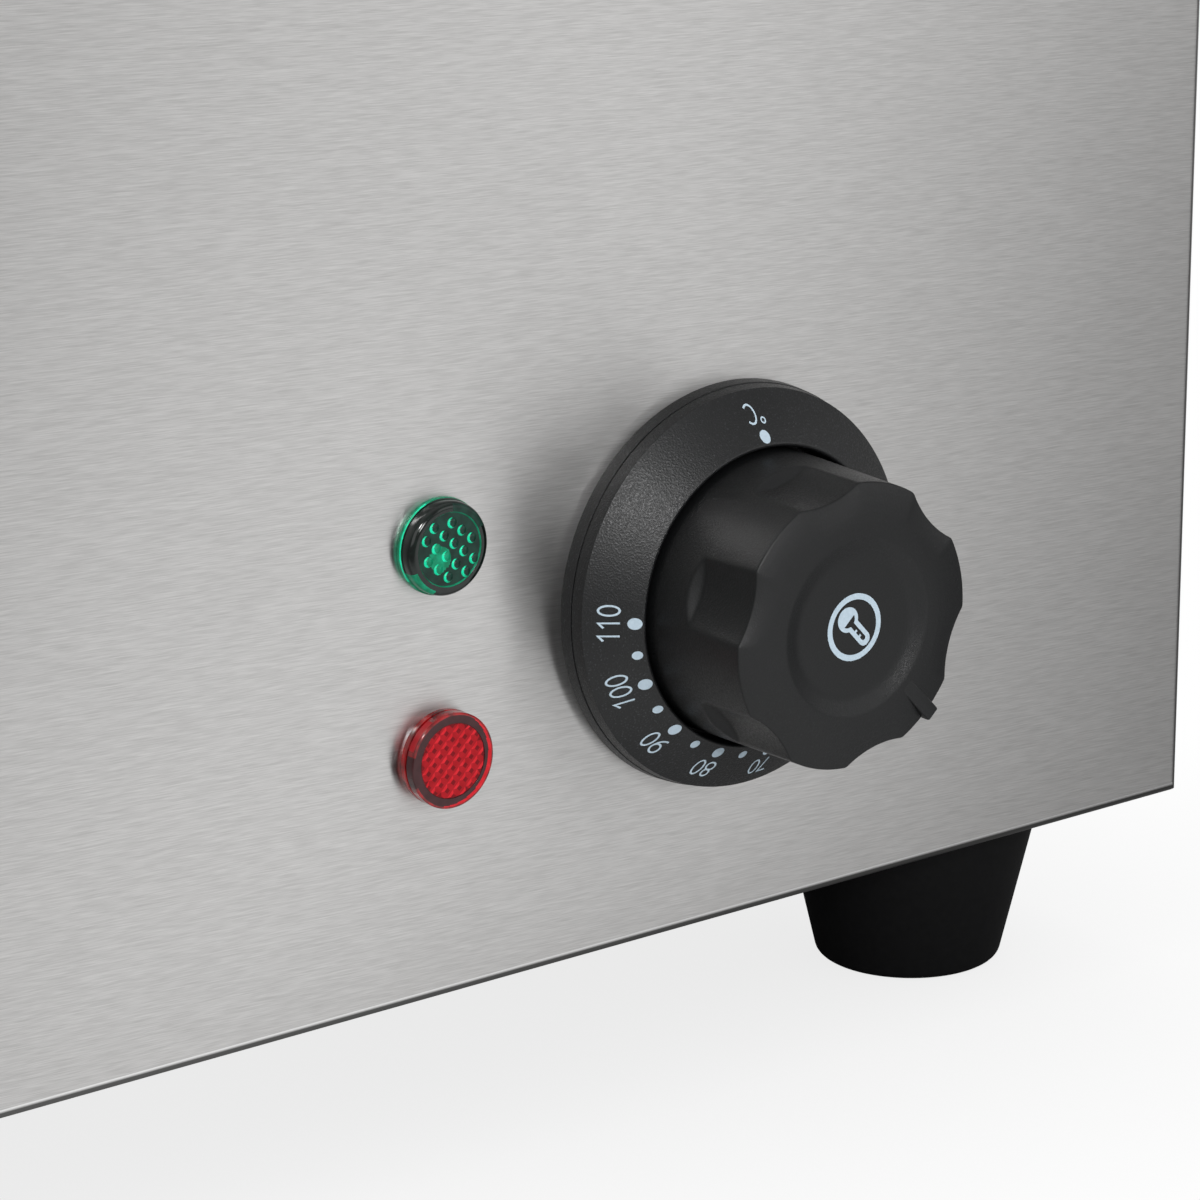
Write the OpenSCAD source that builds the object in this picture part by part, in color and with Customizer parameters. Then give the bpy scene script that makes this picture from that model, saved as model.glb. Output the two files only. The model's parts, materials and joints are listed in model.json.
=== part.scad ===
// Countertop bain-marie: a stainless casing with a water tank, a lift-out food pan
// with a folding two-leaf lid, and a front panel with a dial and two lamps.
// Millimetres, +Z up, the front at -Y, the origin on the floor at the middle.

/* [Sheet metal] */
// Thickness of the stainless sheet
sheet = 1; // [0.8:0.1:1.5]
// Inner radius of the folded edges
fold_in = 1; // [0.5:0.1:2]
// Width of the casing's inturned ledges
ledge = 8; // [7:0.5:9]
// Width of the casing's return flange around the rear opening
rear_flange = 16; // [14:0.5:20]
// Gap between the deck's rim and the casing
deck_gap = 0.2; // [0.1:0.1:0.5]
// Height of the deck's turned-down rim
deck_rim = 15; // [10:1:22]
// Width of the deck beside the tank
deck_side = 21.5; // [20:0.5:40]
// Depth of the deck in front of the tank, over the control bay
bay_d = 55; // [54:1:80]
// Depth of the deck behind the tank
deck_rear = 23; // [20:0.5:60]
// Room between the base and the tank for the heater
under_tank = 53; // [48:1:80]
// Margin of the rear cover inside the casing's outline
rear_margin = 3; // [2:0.5:6]

/* [Pan and tank] */
// Length of the food pan over its flange
pan_l = 530; // [480:1:560]
// Width of the food pan over its flange
pan_w = 325; // [300:1:345]
// Width of the pan's flange
pan_lip = 13; // [11:0.5:16]
// Depth of the pan below its flange
pan_depth = 150; // [100:1:160]
// Thickness of the pan's wall
pan_wall = 0.8; // [0.6:0.1:1.2]
// Thickness of the pan's rolled flange
pan_flange_t = 1.2; // [1:0.1:2]
// Corner radius of the pan's body
pan_corner_r = 30; // [20:1:45]
// Corner radius of the pan's flange
pan_flange_r = 18; // [10:1:30]
// Room between the pan and the tank's wall
tank_gap = 4; // [3:0.5:6]
// Depth of the water under the pan
water_d = 16; // [10:1:40]
// Width of the tank's flange under the deck
tank_flange = 8; // [5:0.5:10]

/* [Dial and knob] */
// Distance of the dial's axis from the casing's right side
dial_from_right = 101.2; // [90:0.1:120]
// Height of the dial's axis above the casing's bottom edge
dial_up = 56.3; // [50:0.1:75]
// Radius of the bezel at the panel
bezel_base_r = 32.6; // [32.2:0.1:36]
// Radius of the bezel at the edge of its sloping face
bezel_edge_r = 32; // [30:0.1:32]
// Height of the bezel's outer wall
bezel_wall_h = 4.4; // [4:0.1:6]
// Height of the sloping face at its inner edge
bezel_top_h = 10.6; // [9:0.1:12]
// Thickness of the bezel's moulding
bezel_t = 2; // [1.5:0.1:2.4]
// Radius of the knob's skirt at its base
knob_base_r = 23.2; // [22.8:0.1:25]
// Gap between the knob's skirt and the bezel
knob_gap = 0.56; // [0.3:0.02:0.8]
// Radius of the knob at its front edge
knob_front_r = 22.5; // [21.5:0.1:22.8]
// Height of the knob's front edge above the panel
knob_edge_h = 30.4; // [26:0.1:36]
// Rounding of the knob's front edge
knob_round = 1.2; // [0.6:0.1:2]
// Radius of the shallow dish in the knob's face
dish_r = 14; // [10:0.1:16]
// Depth of the dish below the knob's face
dish_d = 0.8; // [0.4:0.1:1.5]
// Radius of each finger scoop
scoop_r = 17.4; // [14:0.1:24]
// Depth of a scoop below the knob's front edge
scoop_d = 1.75; // [1:0.05:2]
// Height above the panel where a scoop is at its full depth
scoop_h = 22; // [18:0.1:24]
// Number of finger scoops
scoops = 6; // [5:1:8]
// Width of the pointer ridge
pointer_w = 2.5; // [1.5:0.1:4]
// How far the pointer stands out of the knob
pointer_rise = 0.7; // [0.4:0.1:1.2]
// Direction of the pointer, from the right, as set
pointer_angle = -47.4; // [-180:0.1:90]
// Wall of the knob's skirt under a scoop
knob_wall = 1.9; // [1.5:0.1:2.2]
// Radius of the knob's hub
hub_r = 6.5; // [5.5:0.1:7]
// Radius of the thermostat's shaft
shaft_r = 3; // [2.5:0.1:3.5]
// Running clearance around the shaft
shaft_gap = 0.05; // [0.02:0.01:0.08]
// Width of the flat cut off the shaft
shaft_flat = 1.4; // [1:0.1:1.8]

/* [Lamps] */
// Distance of the lamps to the left of the dial's axis
lamp_left = 55.3; // [50:0.1:62]
// Height of the green lamp above the dial's axis
green_up = 15.9; // [13:0.1:18]
// Depth of the red lamp below the dial's axis
red_down = 17.2; // [14:0.1:20]
// Radius of a lamp's lens
lens_r = 7.5; // [7:0.1:9]
// Height of a lamp's lens above the panel
lens_h = 3; // [2:0.1:5]
// Outer radius of a lamp's threaded bush
bush_r = 6; // [5:0.1:6.4]
// Radius of the lens's plug in the bush
plug_r = 4.9; // [4:0.1:5]

/* [Feet] */
// Visible height of a foot
foot_h = 31; // [20:0.5:45]
// Diameter of a foot at the top
foot_top_d = 47; // [40:0.5:52]
// Diameter of a foot at the floor
foot_bottom_d = 32; // [26:0.5:38]
// Gap between a foot and the casing's ledge
foot_edge = 1.5; // [0.5:0.1:4]

/* [Heater] */
// Diameter of the heating element's tube
element_d = 8; // [6:0.1:10]
// Distance between the element's runs
element_pitch = 70; // [56:1:74]
// Distance of the element's bends from the tank's ends
element_inset = 40; // [30:1:80]
// Distance of the clamp bars from the tank's ends
clamp_inset = 130; // [110:1:160]
// Diameter of the thermostat's sensor bulb
bulb_d = 6; // [5:0.1:8]
// Length of the sensor bulb
bulb_l = 80; // [60:1:110]

/* [Lid] */
// Height of the raised field of each lid leaf
field_h = 8; // [5:0.5:12]
// Width of the flat border around the raised field
field_border = 24; // [20:1:40]
// Depth of the lid's locating lip in the pan
lip_d = 6; // [4:0.5:10]
// Gap between the lid's lip and the pan's wall
lip_gap = 3; // [2:0.5:5]
// Radius of the hinge's knuckles
knuckle_r = 4; // [3.4:0.1:5]
// Radius of the hinge pin
pin_r = 2; // [1.5:0.1:2.4]
// Diameter of the handle's bar
handle_d = 8; // [6:0.1:10]
// Length of a handle between its posts
handle_l = 110; // [90:1:140]
// Height of a handle above the lid
handle_h = 34; // [30:1:45]
// Distance of a handle from the lid's outer edge
handle_inset = 60; // [45:1:90]

/* [Cable gland] */
// Radius of the gland's thread
gland_r = 10; // [8:0.1:12]
// Radius of the cable passage through the gland's seal
cable_r = 4.5; // [3.5:0.1:5.5]
// Length of the gland's hexagon
gland_hex_l = 6; // [4:0.5:10]
// Length of the gland's clamping cap
gland_cap_l = 14; // [10:0.5:20]

/* [Hidden] */
$fn = 96;

steel = "silver";
zinc = "gainsboro";
black = "#1c1c1d";

// Small fits shared by every fastener and seat
seat_gap = 0.2;
hole_gap = 0.2;
thread_gap = 0.05;
overrun = 1;

// Overall sizes of the casing, worked out from the pan, the tank and the deck's borders
fold_out = fold_in + sheet;
pan_body_w = pan_w - 2 * pan_lip;
pan_body_l = pan_l - 2 * pan_lip;
tank_w = pan_body_w + 2 * tank_gap;
tank_l = pan_body_l + 2 * tank_gap;
tank_corner_r = pan_corner_r + tank_gap;
tank_depth = pan_depth + water_d - sheet;
body_w = tank_w + 2 * deck_side;
body_d = bay_d + tank_l + deck_rear;
body_h = tank_depth + under_tank;

// Heights
casing_z = foot_h;
casing_top = casing_z + body_h;
deck_top = casing_top + sheet;
base_z = casing_z + sheet;
base_top = base_z + sheet;
tank_floor = casing_top - tank_depth;
tank_under = tank_floor - sheet;
pan_rim = deck_top + pan_flange_t;

// Places along the depth: the knob's reach and the gland's reach centre the whole object
knob_face_h = knob_edge_h + knob_round;
knob_reach = knob_face_h + pointer_rise;
gland_reach = sheet + gland_hex_l + gland_cap_l;
front_y = knob_reach - (knob_reach + body_d + gland_reach) / 2;
rear_y = front_y + body_d;
body_mid_y = (front_y + rear_y) / 2;
tank_front = front_y + bay_d;
tank_rear = tank_front + tank_l;
tank_mid_y = (tank_front + tank_rear) / 2;

// The dial's axis on the panel
dial_x = body_w / 2 - dial_from_right;
dial_z = casing_z + dial_up;
lamp_places = [[-lamp_left, green_up], [-lamp_left, -red_down]];

// Dial and thermostat fittings
hole_r = knob_base_r + knob_gap;
bezel_floor = 2.5;
knob_base_h = bezel_floor + 0.7;
knob_roof_h = knob_edge_h - 4;
shaft_front_h = knob_roof_h - 1;
shaft_back = 10;
shaft_hole_r = shaft_r + 2;
cavity_r = knob_front_r - scoop_d - knob_wall;
stat_plate_w = 46;
stat_plate_h = 26;
stat_plate_t = 1.5;
stat_plate = [stat_plate_w, stat_plate_h, stat_plate_t];
stat_block_w = 40;
stat_block_h = 34;
stat_block_d = 28;
stat_block = [stat_block_w, stat_block_h, stat_block_d];
stat_screw_x = 12.5;
m4_r = 2;
m4_head_r = 3.5;
m4_head_h = 2.2;
blade_w = 6.3;
blade_t = 0.8;
blade_l = 8;
blade = [blade_w, blade_t, blade_l];

// Lamp fittings
nut_h = 4;
lamp_nut_r = 9;
bush_l = 12;
housing_r = 7.5;
housing_l = 16;

// Feet and their fixings
foot_inset = ledge + foot_edge + foot_top_d / 2;
foot_x = body_w / 2 - foot_inset;
foot_front_y = front_y + foot_inset;
foot_rear_y = rear_y - foot_inset;
foot_places = [[-foot_x, foot_front_y], [foot_x, foot_front_y], [-foot_x, foot_rear_y], [foot_x, foot_rear_y]];
foot_bore = 12;
m6_r = 3;
m6_head_r = 6;
m6_head_h = 4;
m6_nut_r = 5.8;
m6_nut_h = 5;

// Small screws of the base and the rear cover
base_screw_x = body_w / 2 - (ledge + sheet) / 2;
base_screw_end = 110;
base_screw_rows = [front_y + base_screw_end, body_mid_y, rear_y - base_screw_end];
m3_r = 1.5;
m3_head_r = 2.8;
m3_head_h = 1.8;
screw_tail = 4;
rear_screw_x = body_w / 2 - rear_margin - (rear_flange - rear_margin) / 2;
cover_low = casing_z + rear_margin;
cover_high = casing_top + sheet - deck_rim - rear_margin;
rear_screw_end = 18;
rear_screw_rows = [cover_low + rear_screw_end, (cover_low + cover_high) / 2, cover_high - rear_screw_end];

// Heater under the tank
element_r = element_d / 2;
element_z = tank_under - seat_gap - element_r;
element_front = tank_front + element_inset + element_pitch / 2;
element_rear = tank_rear - element_inset - element_pitch / 2;
element_tail = element_front - tank_front - 6;
pin_d = 4;
pin_l = 16;
bar_w = 18;
bar_t = 2;
bar_z = element_z - element_r - seat_gap - bar_t;
bar_l = 3 * element_pitch + 2 * bar_w;
bar_rows = [tank_front + clamp_inset, tank_rear - clamp_inset];
stud_r = 2.5;
stud_nut_r = 4.6;
stud_nut_h = 4;
stud_tail = 2;
bulb_r = bulb_d / 2;
bulb_z = tank_under - seat_gap - bulb_r;
bulb_front = tank_front + clamp_inset + bar_w;
clip_w = 14;
clip_t = 1.2;
clip_wing = 9;
capillary_r = 1;

// Wiring and earth fittings
block_w = 44;
block_d = 22;
block_h = 18;
block = [block_w, block_d, block_h];
block_x = -body_w / 4;
block_y = front_y + bay_d / 2;
block_screw_x = 16;
gland_x = -body_w / 4;
gland_up = 32;
gland_z = casing_z + gland_up;
gland_hex_r = gland_r + 4;
gland_passage_r = cable_r + 0.5;
gland_tail = 11;
gland_seal_r = gland_r - 2;
gland_seal_l = gland_cap_l - 3;
locknut_h = 5;
earth_from_gland = 50;
earth_x = gland_x + earth_from_gland;
earth_tail = 16;
washer_h = 1.2;

// Lid
lid_z = pan_rim;
lid_t = sheet;
lid_top = lid_z + lid_t;
hinge_y = tank_mid_y;
hinge_z = lid_top + 0.5 + knuckle_r;
leaf_gap = 0.5;
knuckle_l = 24;
knuckle_play = 0.3;
knuckle_count = 5;
hinge_half = (knuckle_count * knuckle_l + (knuckle_count - 1) * knuckle_play) / 2;
tab_reach = 8;
tab_d = knuckle_r + tab_reach;
field_r = pan_flange_r;
handle_r = handle_d / 2;
handle_bend = handle_d;
handle_screw_r = 2.5;
handle_screw_head_r = 4.5;
handle_screw_head_h = 2.5;
handle_screw_in = 12;
handle_rear_y = tank_mid_y + pan_l / 2 - handle_inset;
handle_front_y = tank_mid_y - pan_l / 2 + handle_inset;
handle_base_z = lid_top + field_h;

// Rectangle with round corners, centred
module round_rect(w, h, r) {
    square([w - 2 * r, h], center = true);
    square([w, h - 2 * r], center = true);
    for (x = [-1, 1], y = [-1, 1])
        translate([x * (w / 2 - r), y * (h / 2 - r)]) circle(r);
}

// Box with all its edges rounded, centred
module soft_box(size, r) {
    intersection() {
        linear_extrude(size.z, center = true) round_rect(size.x, size.y, r);
        rotate([90, 0, 0]) linear_extrude(size.y, center = true) round_rect(size.x, size.z, r);
        rotate([0, 90, 0]) linear_extrude(size.x, center = true) round_rect(size.z, size.y, r);
    }
}

// Places children on the dial's axis, with +Z out of the panel and +Y up
module on_panel() {
    translate([dial_x, front_y, dial_z]) rotate([90, 0, 0]) children();
}

// Places children on the rear cover's outer face, with +Z out of the cover
module on_rear(x, z) {
    translate([x, rear_y + sheet, z]) rotate([-90, 0, 0]) children();
}

// Rod between two heights on the Z axis
module rod(r, low, high) {
    translate([0, 0, low]) cylinder(r = r, h = high - low);
}

// Hexagon nut between two heights
module hex_nut(r, bore, low, high) {
    difference() {
        translate([0, 0, low]) cylinder(r = r, h = high - low, $fn = 6);
        rod(bore, low - overrun, high + overrun);
    }
}

// Pan-head screw with its head above zero and its shank below
module screw(shank_r, head_r, head_h, length) {
    rod(shank_r, -length, 0);
    rotate_extrude() polygon([
        [0, 0], [head_r, 0], [head_r, head_h * 0.5], [head_r * 0.7, head_h], [0, head_h]
    ]);
}

module outer_casing() {
    color(steel) difference() {
        translate([0, body_mid_y, casing_z + body_h / 2]) difference() {
            soft_box([body_w, body_d, body_h], fold_out);
            soft_box([body_w - 2 * sheet, body_d - 2 * sheet, body_h - 2 * sheet], fold_in);
            cube([body_w - 2 * ledge, body_d - 2 * ledge, body_h + overrun], center = true);
            translate([0, body_d / 2, 0])
                cube([body_w - 2 * rear_flange, body_d, body_h - 2 * rear_flange], center = true);
        }
        on_panel() {
            rod(shaft_hole_r, -bay_d / 2, overrun);
            for (x = [-stat_screw_x, stat_screw_x])
                translate([x, 0, 0]) rod(m4_r + hole_gap, -bay_d / 2, overrun);
            for (place = lamp_places)
                translate(place) rod(bush_r + hole_gap, -bay_d / 2, overrun);
        }
        for (x = [-base_screw_x, base_screw_x], y = base_screw_rows)
            translate([x, y, 0]) rod(m3_r + hole_gap, casing_z - overrun, base_z + overrun);
        for (x = [-rear_screw_x, rear_screw_x], z = rear_screw_rows)
            on_rear(x, z) rod(m3_r + thread_gap, -3 * sheet, overrun);
    }
}

module rear_cover() {
    color(steel) difference() {
        translate([0, rear_y + sheet / 2, (cover_low + cover_high) / 2]) rotate([90, 0, 0])
            linear_extrude(sheet, center = true)
                round_rect(body_w - 2 * rear_margin, cover_high - cover_low, rear_margin);
        for (x = [-rear_screw_x, rear_screw_x], z = rear_screw_rows)
            on_rear(x, z) rod(m3_r + hole_gap, -2 * sheet, overrun);
        on_rear(gland_x, gland_z) rod(gland_r + hole_gap, -2 * sheet, overrun);
        on_rear(earth_x, gland_z) rod(m6_r + hole_gap, -2 * sheet, overrun);
    }
}

module rear_screws() {
    color(zinc) for (x = [-rear_screw_x, rear_screw_x], z = rear_screw_rows)
        on_rear(x, z) screw(m3_r, m3_head_r, m3_head_h, 2 * sheet + screw_tail);
}

module base_plate() {
    plate_w = body_w - 2 * (sheet + fold_in + seat_gap);
    plate_d = body_d - 2 * (sheet + fold_in + seat_gap);
    color(steel) difference() {
        translate([0, body_mid_y, base_z]) linear_extrude(sheet) round_rect(plate_w, plate_d, fold_out);
        for (place = foot_places)
            translate(place) rod(m6_r + hole_gap, base_z - overrun, base_top + overrun);
        for (x = [-base_screw_x, base_screw_x], y = base_screw_rows)
            translate([x, y, 0]) rod(m3_r + thread_gap, base_z - overrun, base_top + overrun);
        for (x = [-block_screw_x, block_screw_x])
            translate([block_x + x, block_y, 0]) rod(m3_r + thread_gap, base_z - overrun, base_top + overrun);
    }
}

module base_screws() {
    color(zinc) for (x = [-base_screw_x, base_screw_x], y = base_screw_rows)
        translate([x, y, casing_z]) mirror([0, 0, 1])
            screw(m3_r, m3_head_r, m3_head_h, 2 * sheet + screw_tail);
}

module deck() {
    rim_w = body_w + 2 * (sheet + deck_gap);
    rim_d = body_d + 2 * (sheet + deck_gap);
    color(steel) difference() {
        translate([0, body_mid_y, deck_top - deck_rim]) difference() {
            soft_box([rim_w, rim_d, 2 * deck_rim], fold_out);
            soft_box([rim_w - 2 * sheet, rim_d - 2 * sheet, 2 * deck_rim - 2 * sheet], fold_in);
            translate([0, 0, -deck_rim]) cube([2 * rim_w, 2 * rim_d, 2 * deck_rim], center = true);
        }
        translate([0, tank_mid_y, casing_top - overrun]) linear_extrude(2 * sheet + overrun)
            round_rect(tank_w, tank_l, tank_corner_r);
    }
}

module tank() {
    color(steel) translate([0, tank_mid_y, 0]) difference() {
        union() {
            translate([0, 0, tank_under]) linear_extrude(tank_depth + sheet)
                round_rect(tank_w + 2 * sheet, tank_l + 2 * sheet, tank_corner_r + sheet);
            translate([0, 0, casing_top - sheet]) linear_extrude(sheet)
                round_rect(tank_w + 2 * tank_flange, tank_l + 2 * tank_flange, tank_corner_r + tank_flange);
        }
        translate([0, 0, tank_floor]) linear_extrude(tank_depth + overrun)
            round_rect(tank_w, tank_l, tank_corner_r);
    }
}

// Half a turn of the element's tube, opening towards -Y
module element_bend() {
    rotate_extrude(angle = 180) translate([element_pitch / 2, 0]) circle(element_r);
}

module heating_element() {
    run = element_rear - element_front;
    color("dimgray") translate([0, 0, element_z]) {
        for (side = [-1, 1]) {
            translate([side * element_pitch / 2, element_front, 0]) rotate([-90, 0, 0]) rod(element_r, 0, run);
            translate([side * element_pitch, element_rear, 0]) element_bend();
            translate([side * 1.5 * element_pitch, element_front, 0]) rotate([-90, 0, 0]) {
                rod(element_r, -element_tail, run);
                rod(pin_d / 2, -element_tail - pin_l, -element_tail);
            }
        }
        translate([0, element_front, 0]) rotate([0, 0, 180]) element_bend();
    }
}

module clamp_bars() {
    color(zinc) for (y = bar_rows) difference() {
        translate([-bar_l / 2, y - bar_w / 2, bar_z]) cube([bar_l, bar_w, bar_t]);
        for (x = [-element_pitch, element_pitch])
            translate([x, y, 0]) rod(stud_r + hole_gap, bar_z - overrun, bar_z + bar_t + overrun);
    }
}

module clamp_studs() {
    color(zinc) for (x = [-element_pitch, element_pitch], y = bar_rows)
        translate([x, y, 0]) rod(stud_r, bar_z - stud_nut_h - stud_tail, tank_under);
}

module clamp_nuts() {
    color(zinc) for (x = [-element_pitch, element_pitch], y = bar_rows)
        translate([x, y, 0]) hex_nut(stud_nut_r, stud_r + thread_gap, bar_z - stud_nut_h, bar_z);
}

module sensor_bulb() {
    color("peru") translate([0, bulb_front, bulb_z]) rotate([-90, 0, 0]) rod(bulb_r, 0, bulb_l);
}

// Saddle strap that holds the bulb against the tank
module bulb_clip() {
    saddle_r = bulb_r + seat_gap;
    color(zinc) translate([0, bulb_front + bulb_l / 2 + clip_w / 2, bulb_z]) rotate([90, 0, 0])
        linear_extrude(clip_w) difference() {
            union() {
                circle(saddle_r + clip_t);
                translate([-saddle_r - clip_wing, bulb_r + seat_gap - clip_t])
                    square([2 * (saddle_r + clip_wing), clip_t]);
            }
            circle(saddle_r);
            translate([-saddle_r, 0]) square([2 * saddle_r, 2 * saddle_r]);
            translate([-saddle_r - clip_wing, bulb_r + seat_gap]) square([2 * (saddle_r + clip_wing), 2 * clip_t]);
        }
}

// Route of the capillary from the thermostat's underside to the sensor bulb
capillary_low = (base_top + bar_z) / 2;
capillary_behind = 22;
capillary_drop = 6;
capillary_slack = 4;
capillary_turn = 30;
capillary_under = 6;
capillary_past = 8;
capillary_rise = 50;
capillary_over = 2;
capillary_lead = 10;
capillary_share = 0.55;
capillary_route = [
    [dial_x, front_y + capillary_behind, dial_z - stat_block.y / 2],
    [dial_x, front_y + capillary_behind, dial_z - stat_block.y / 2 - capillary_drop],
    [dial_x - capillary_slack, front_y + capillary_turn, capillary_low + capillary_slack],
    [dial_x * capillary_share, tank_front + capillary_under, capillary_low],
    [capillary_slack, tank_front + element_inset + capillary_past, capillary_low + capillary_slack],
    [0, tank_front + element_inset + capillary_rise, bar_z + bar_t + capillary_over],
    [0, bulb_front - capillary_lead, bulb_z],
    [0, bulb_front, bulb_z]
];
capillary_steps = 4;

function spline(a, b, c, d, t) =
    0.5 * (2 * b + (c - a) * t + (2 * a - 5 * b + 4 * c - d) * t * t + (3 * b - a - 3 * c + d) * t * t * t);
function route_point(route, i) = route[max(0, min(len(route) - 1, i))];
function unit(v) = v / norm(v);

module capillary_tube() {
    last = len(capillary_route) - 1;
    points = [
        for (i = [0:last - 1], k = [0:capillary_steps - 1])
            spline(route_point(capillary_route, i - 1), capillary_route[i], capillary_route[i + 1],
                route_point(capillary_route, i + 2), k / capillary_steps),
        capillary_route[last]
    ];
    count = len(points);
    sides = 8;
    rings = [
        for (i = [0:count - 1])
            let (ahead = unit(route_point(points, i + 1) - route_point(points, i - 1)))
            let (across = unit(cross(ahead, [1, 0, 0])))
            let (over = cross(across, ahead))
            for (s = [0:sides - 1])
                points[i] + capillary_r * (cos(360 * s / sides) * across + sin(360 * s / sides) * over)
    ];
    walls = [
        for (i = [0:count - 2], s = [0:sides - 1])
            let (a = i * sides + s)
            let (b = i * sides + (s + 1) % sides)
            each [[a, b, a + sides], [b, b + sides, a + sides]]
    ];
    start_cap = [for (s = [1:sides - 2]) [0, s + 1, s]];
    base = (count - 1) * sides;
    end_cap = [for (s = [1:sides - 2]) [base, base + s, base + s + 1]];
    color("peru") polyhedron(rings, concat(walls, start_cap, end_cap));
}

// Tapered foot with a recess for its screw
module foot(place) {
    color(black) translate(place) difference() {
        cylinder(d1 = foot_bottom_d, d2 = foot_top_d, h = base_z);
        rod(m6_head_r + 1, -overrun, foot_bore);
        rod(m6_r + hole_gap, 0, base_z + overrun);
    }
}

module foot_front_left() { foot(foot_places[0]); }
module foot_front_right() { foot(foot_places[1]); }
module foot_rear_left() { foot(foot_places[2]); }
module foot_rear_right() { foot(foot_places[3]); }

module foot_screws() {
    color(zinc) for (place = foot_places)
        translate([place.x, place.y, foot_bore]) mirror([0, 0, 1])
            screw(m6_r, m6_head_r, m6_head_h, base_top + m6_nut_h + stud_tail - foot_bore);
}

module foot_nuts() {
    color(zinc) for (place = foot_places)
        translate(place) hex_nut(m6_nut_r, m6_r + thread_gap, base_top, base_top + m6_nut_h);
}

module dial_bezel() {
    slope = (bezel_top_h - bezel_wall_h) / (bezel_edge_r - hole_r);
    color(black) on_panel() difference() {
        rotate_extrude() polygon([
            [shaft_hole_r, 0], [hole_r - bezel_t, 0], [hole_r - bezel_t, bezel_floor - 0.5],
            [hole_r + bezel_t, bezel_floor - 0.5],
            [hole_r + bezel_t, bezel_top_h - slope * bezel_t - bezel_t * sqrt(1 + slope * slope)],
            [bezel_edge_r - bezel_t, bezel_wall_h - bezel_t * 0.5],
            [bezel_base_r - bezel_t, 0],
            [bezel_base_r, 0], [bezel_edge_r, bezel_wall_h], [hole_r, bezel_top_h],
            [hole_r, bezel_floor], [shaft_hole_r, bezel_floor]
        ]);
        for (x = [-stat_screw_x, stat_screw_x])
            translate([x, 0, 0]) rod(m4_r + hole_gap, -overrun, bezel_floor + overrun);
    }
}

// One finger scoop: straight at the front, round where it runs out at the back
module scoop() {
    translate([knob_front_r - scoop_d + scoop_r, 0, 0]) {
        rod(scoop_r, scoop_h, knob_reach + overrun);
        translate([0, 0, scoop_h]) sphere(scoop_r);
    }
}

module knob() {
    hub_h = knob_base_h + 1;
    lip_r = dish_r - dish_d;
    color(black) on_panel() rotate([0, 0, pointer_angle]) difference() {
        union() {
            difference() {
                rotate_extrude() polygon([
                    [0, hub_h], [hub_r, hub_h], [hub_r, knob_roof_h], [cavity_r, knob_roof_h],
                    [cavity_r, knob_base_h], [knob_base_r, knob_base_h], [knob_front_r, knob_edge_h],
                    [knob_front_r - knob_round, knob_face_h], [dish_r, knob_face_h],
                    [lip_r, knob_face_h - dish_d], [0, knob_face_h - dish_d]
                ]);
                for (i = [0:scoops - 1])
                    rotate([0, 0, (i + 0.5) * 360 / scoops]) scoop();
            }
            translate([dish_r, -pointer_w / 2, knob_roof_h + 1])
                cube([knob_front_r + pointer_rise - dish_r, pointer_w, knob_reach - knob_roof_h - 1]);
        }
        difference() {
            rod(shaft_r + shaft_gap, 0, shaft_front_h + shaft_gap);
            translate([shaft_r - shaft_flat + shaft_gap, -shaft_r, 0]) cube([shaft_r, 2 * shaft_r, knob_reach]);
        }
    }
}

module thermostat_shaft() {
    color(zinc) on_panel() rotate([0, 0, pointer_angle]) difference() {
        rod(shaft_r, -shaft_back, shaft_front_h);
        translate([shaft_r - shaft_flat, -shaft_r, bezel_floor])
            cube([shaft_r, 2 * shaft_r, shaft_front_h]);
    }
}

module thermostat_body() {
    plate_h = -sheet - stat_plate.z;
    color("darkgray") on_panel() difference() {
        union() {
            translate([0, 0, plate_h + stat_plate.z / 2]) cube(stat_plate, center = true);
            translate([0, 0, plate_h - stat_block.z / 2]) cube(stat_block, center = true);
            for (x = [-1, 1], y = [-1, 1])
                translate([x * stat_block.x / 4, y * stat_block.y / 4, plate_h - stat_block.z - blade.z / 2])
                    cube(blade, center = true);
        }
        rod(shaft_r + shaft_gap, -shaft_back - overrun, overrun);
        for (x = [-stat_screw_x, stat_screw_x])
            translate([x, 0, 0]) rod(m4_r + thread_gap, plate_h - 2 * screw_tail, overrun);
    }
}

module thermostat_screws() {
    color(zinc) on_panel() for (x = [-stat_screw_x, stat_screw_x])
        translate([x, 0, bezel_floor])
            screw(m4_r, m4_head_r, m4_head_h, bezel_floor + sheet + stat_plate.z + screw_tail);
}

// Lens with a flange on the panel and a plug in the lamp's bush
module lens(place, edge) {
    on_panel() translate(place) rotate_extrude() polygon([
        [0, -bush_l + overrun], [plug_r, -bush_l + overrun], [plug_r, 0], [lens_r, 0],
        [lens_r, lens_h - edge], [lens_r - edge, lens_h], [0, lens_h]
    ]);
}

// Lamp holder: a bush through the panel in front of a closed housing with two blades
module lamp_body(place) {
    color("ivory") on_panel() translate(place) {
        difference() {
            union() {
                rod(bush_r, -bush_l, -seat_gap);
                rod(housing_r, -bush_l - housing_l, -bush_l);
            }
            rod(plug_r + hole_gap, -bush_l, overrun);
        }
        for (x = [-1, 1])
            translate([x * housing_r / 2, 0, -bush_l - housing_l - blade.z / 2])
                cube([blade.y, blade.x, blade.z], center = true);
    }
}

module green_lens() { color("seagreen") lens(lamp_places[0], 1); }
module green_lamp_body() { lamp_body(lamp_places[0]); }
module red_lens() { color("firebrick") lens(lamp_places[1], 0.3); }
module red_lamp_body() { lamp_body(lamp_places[1]); }

module lamp_nuts() {
    color(zinc) on_panel() for (place = lamp_places)
        translate(place) hex_nut(lamp_nut_r, bush_r + thread_gap, -sheet - nut_h, -sheet);
}

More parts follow.
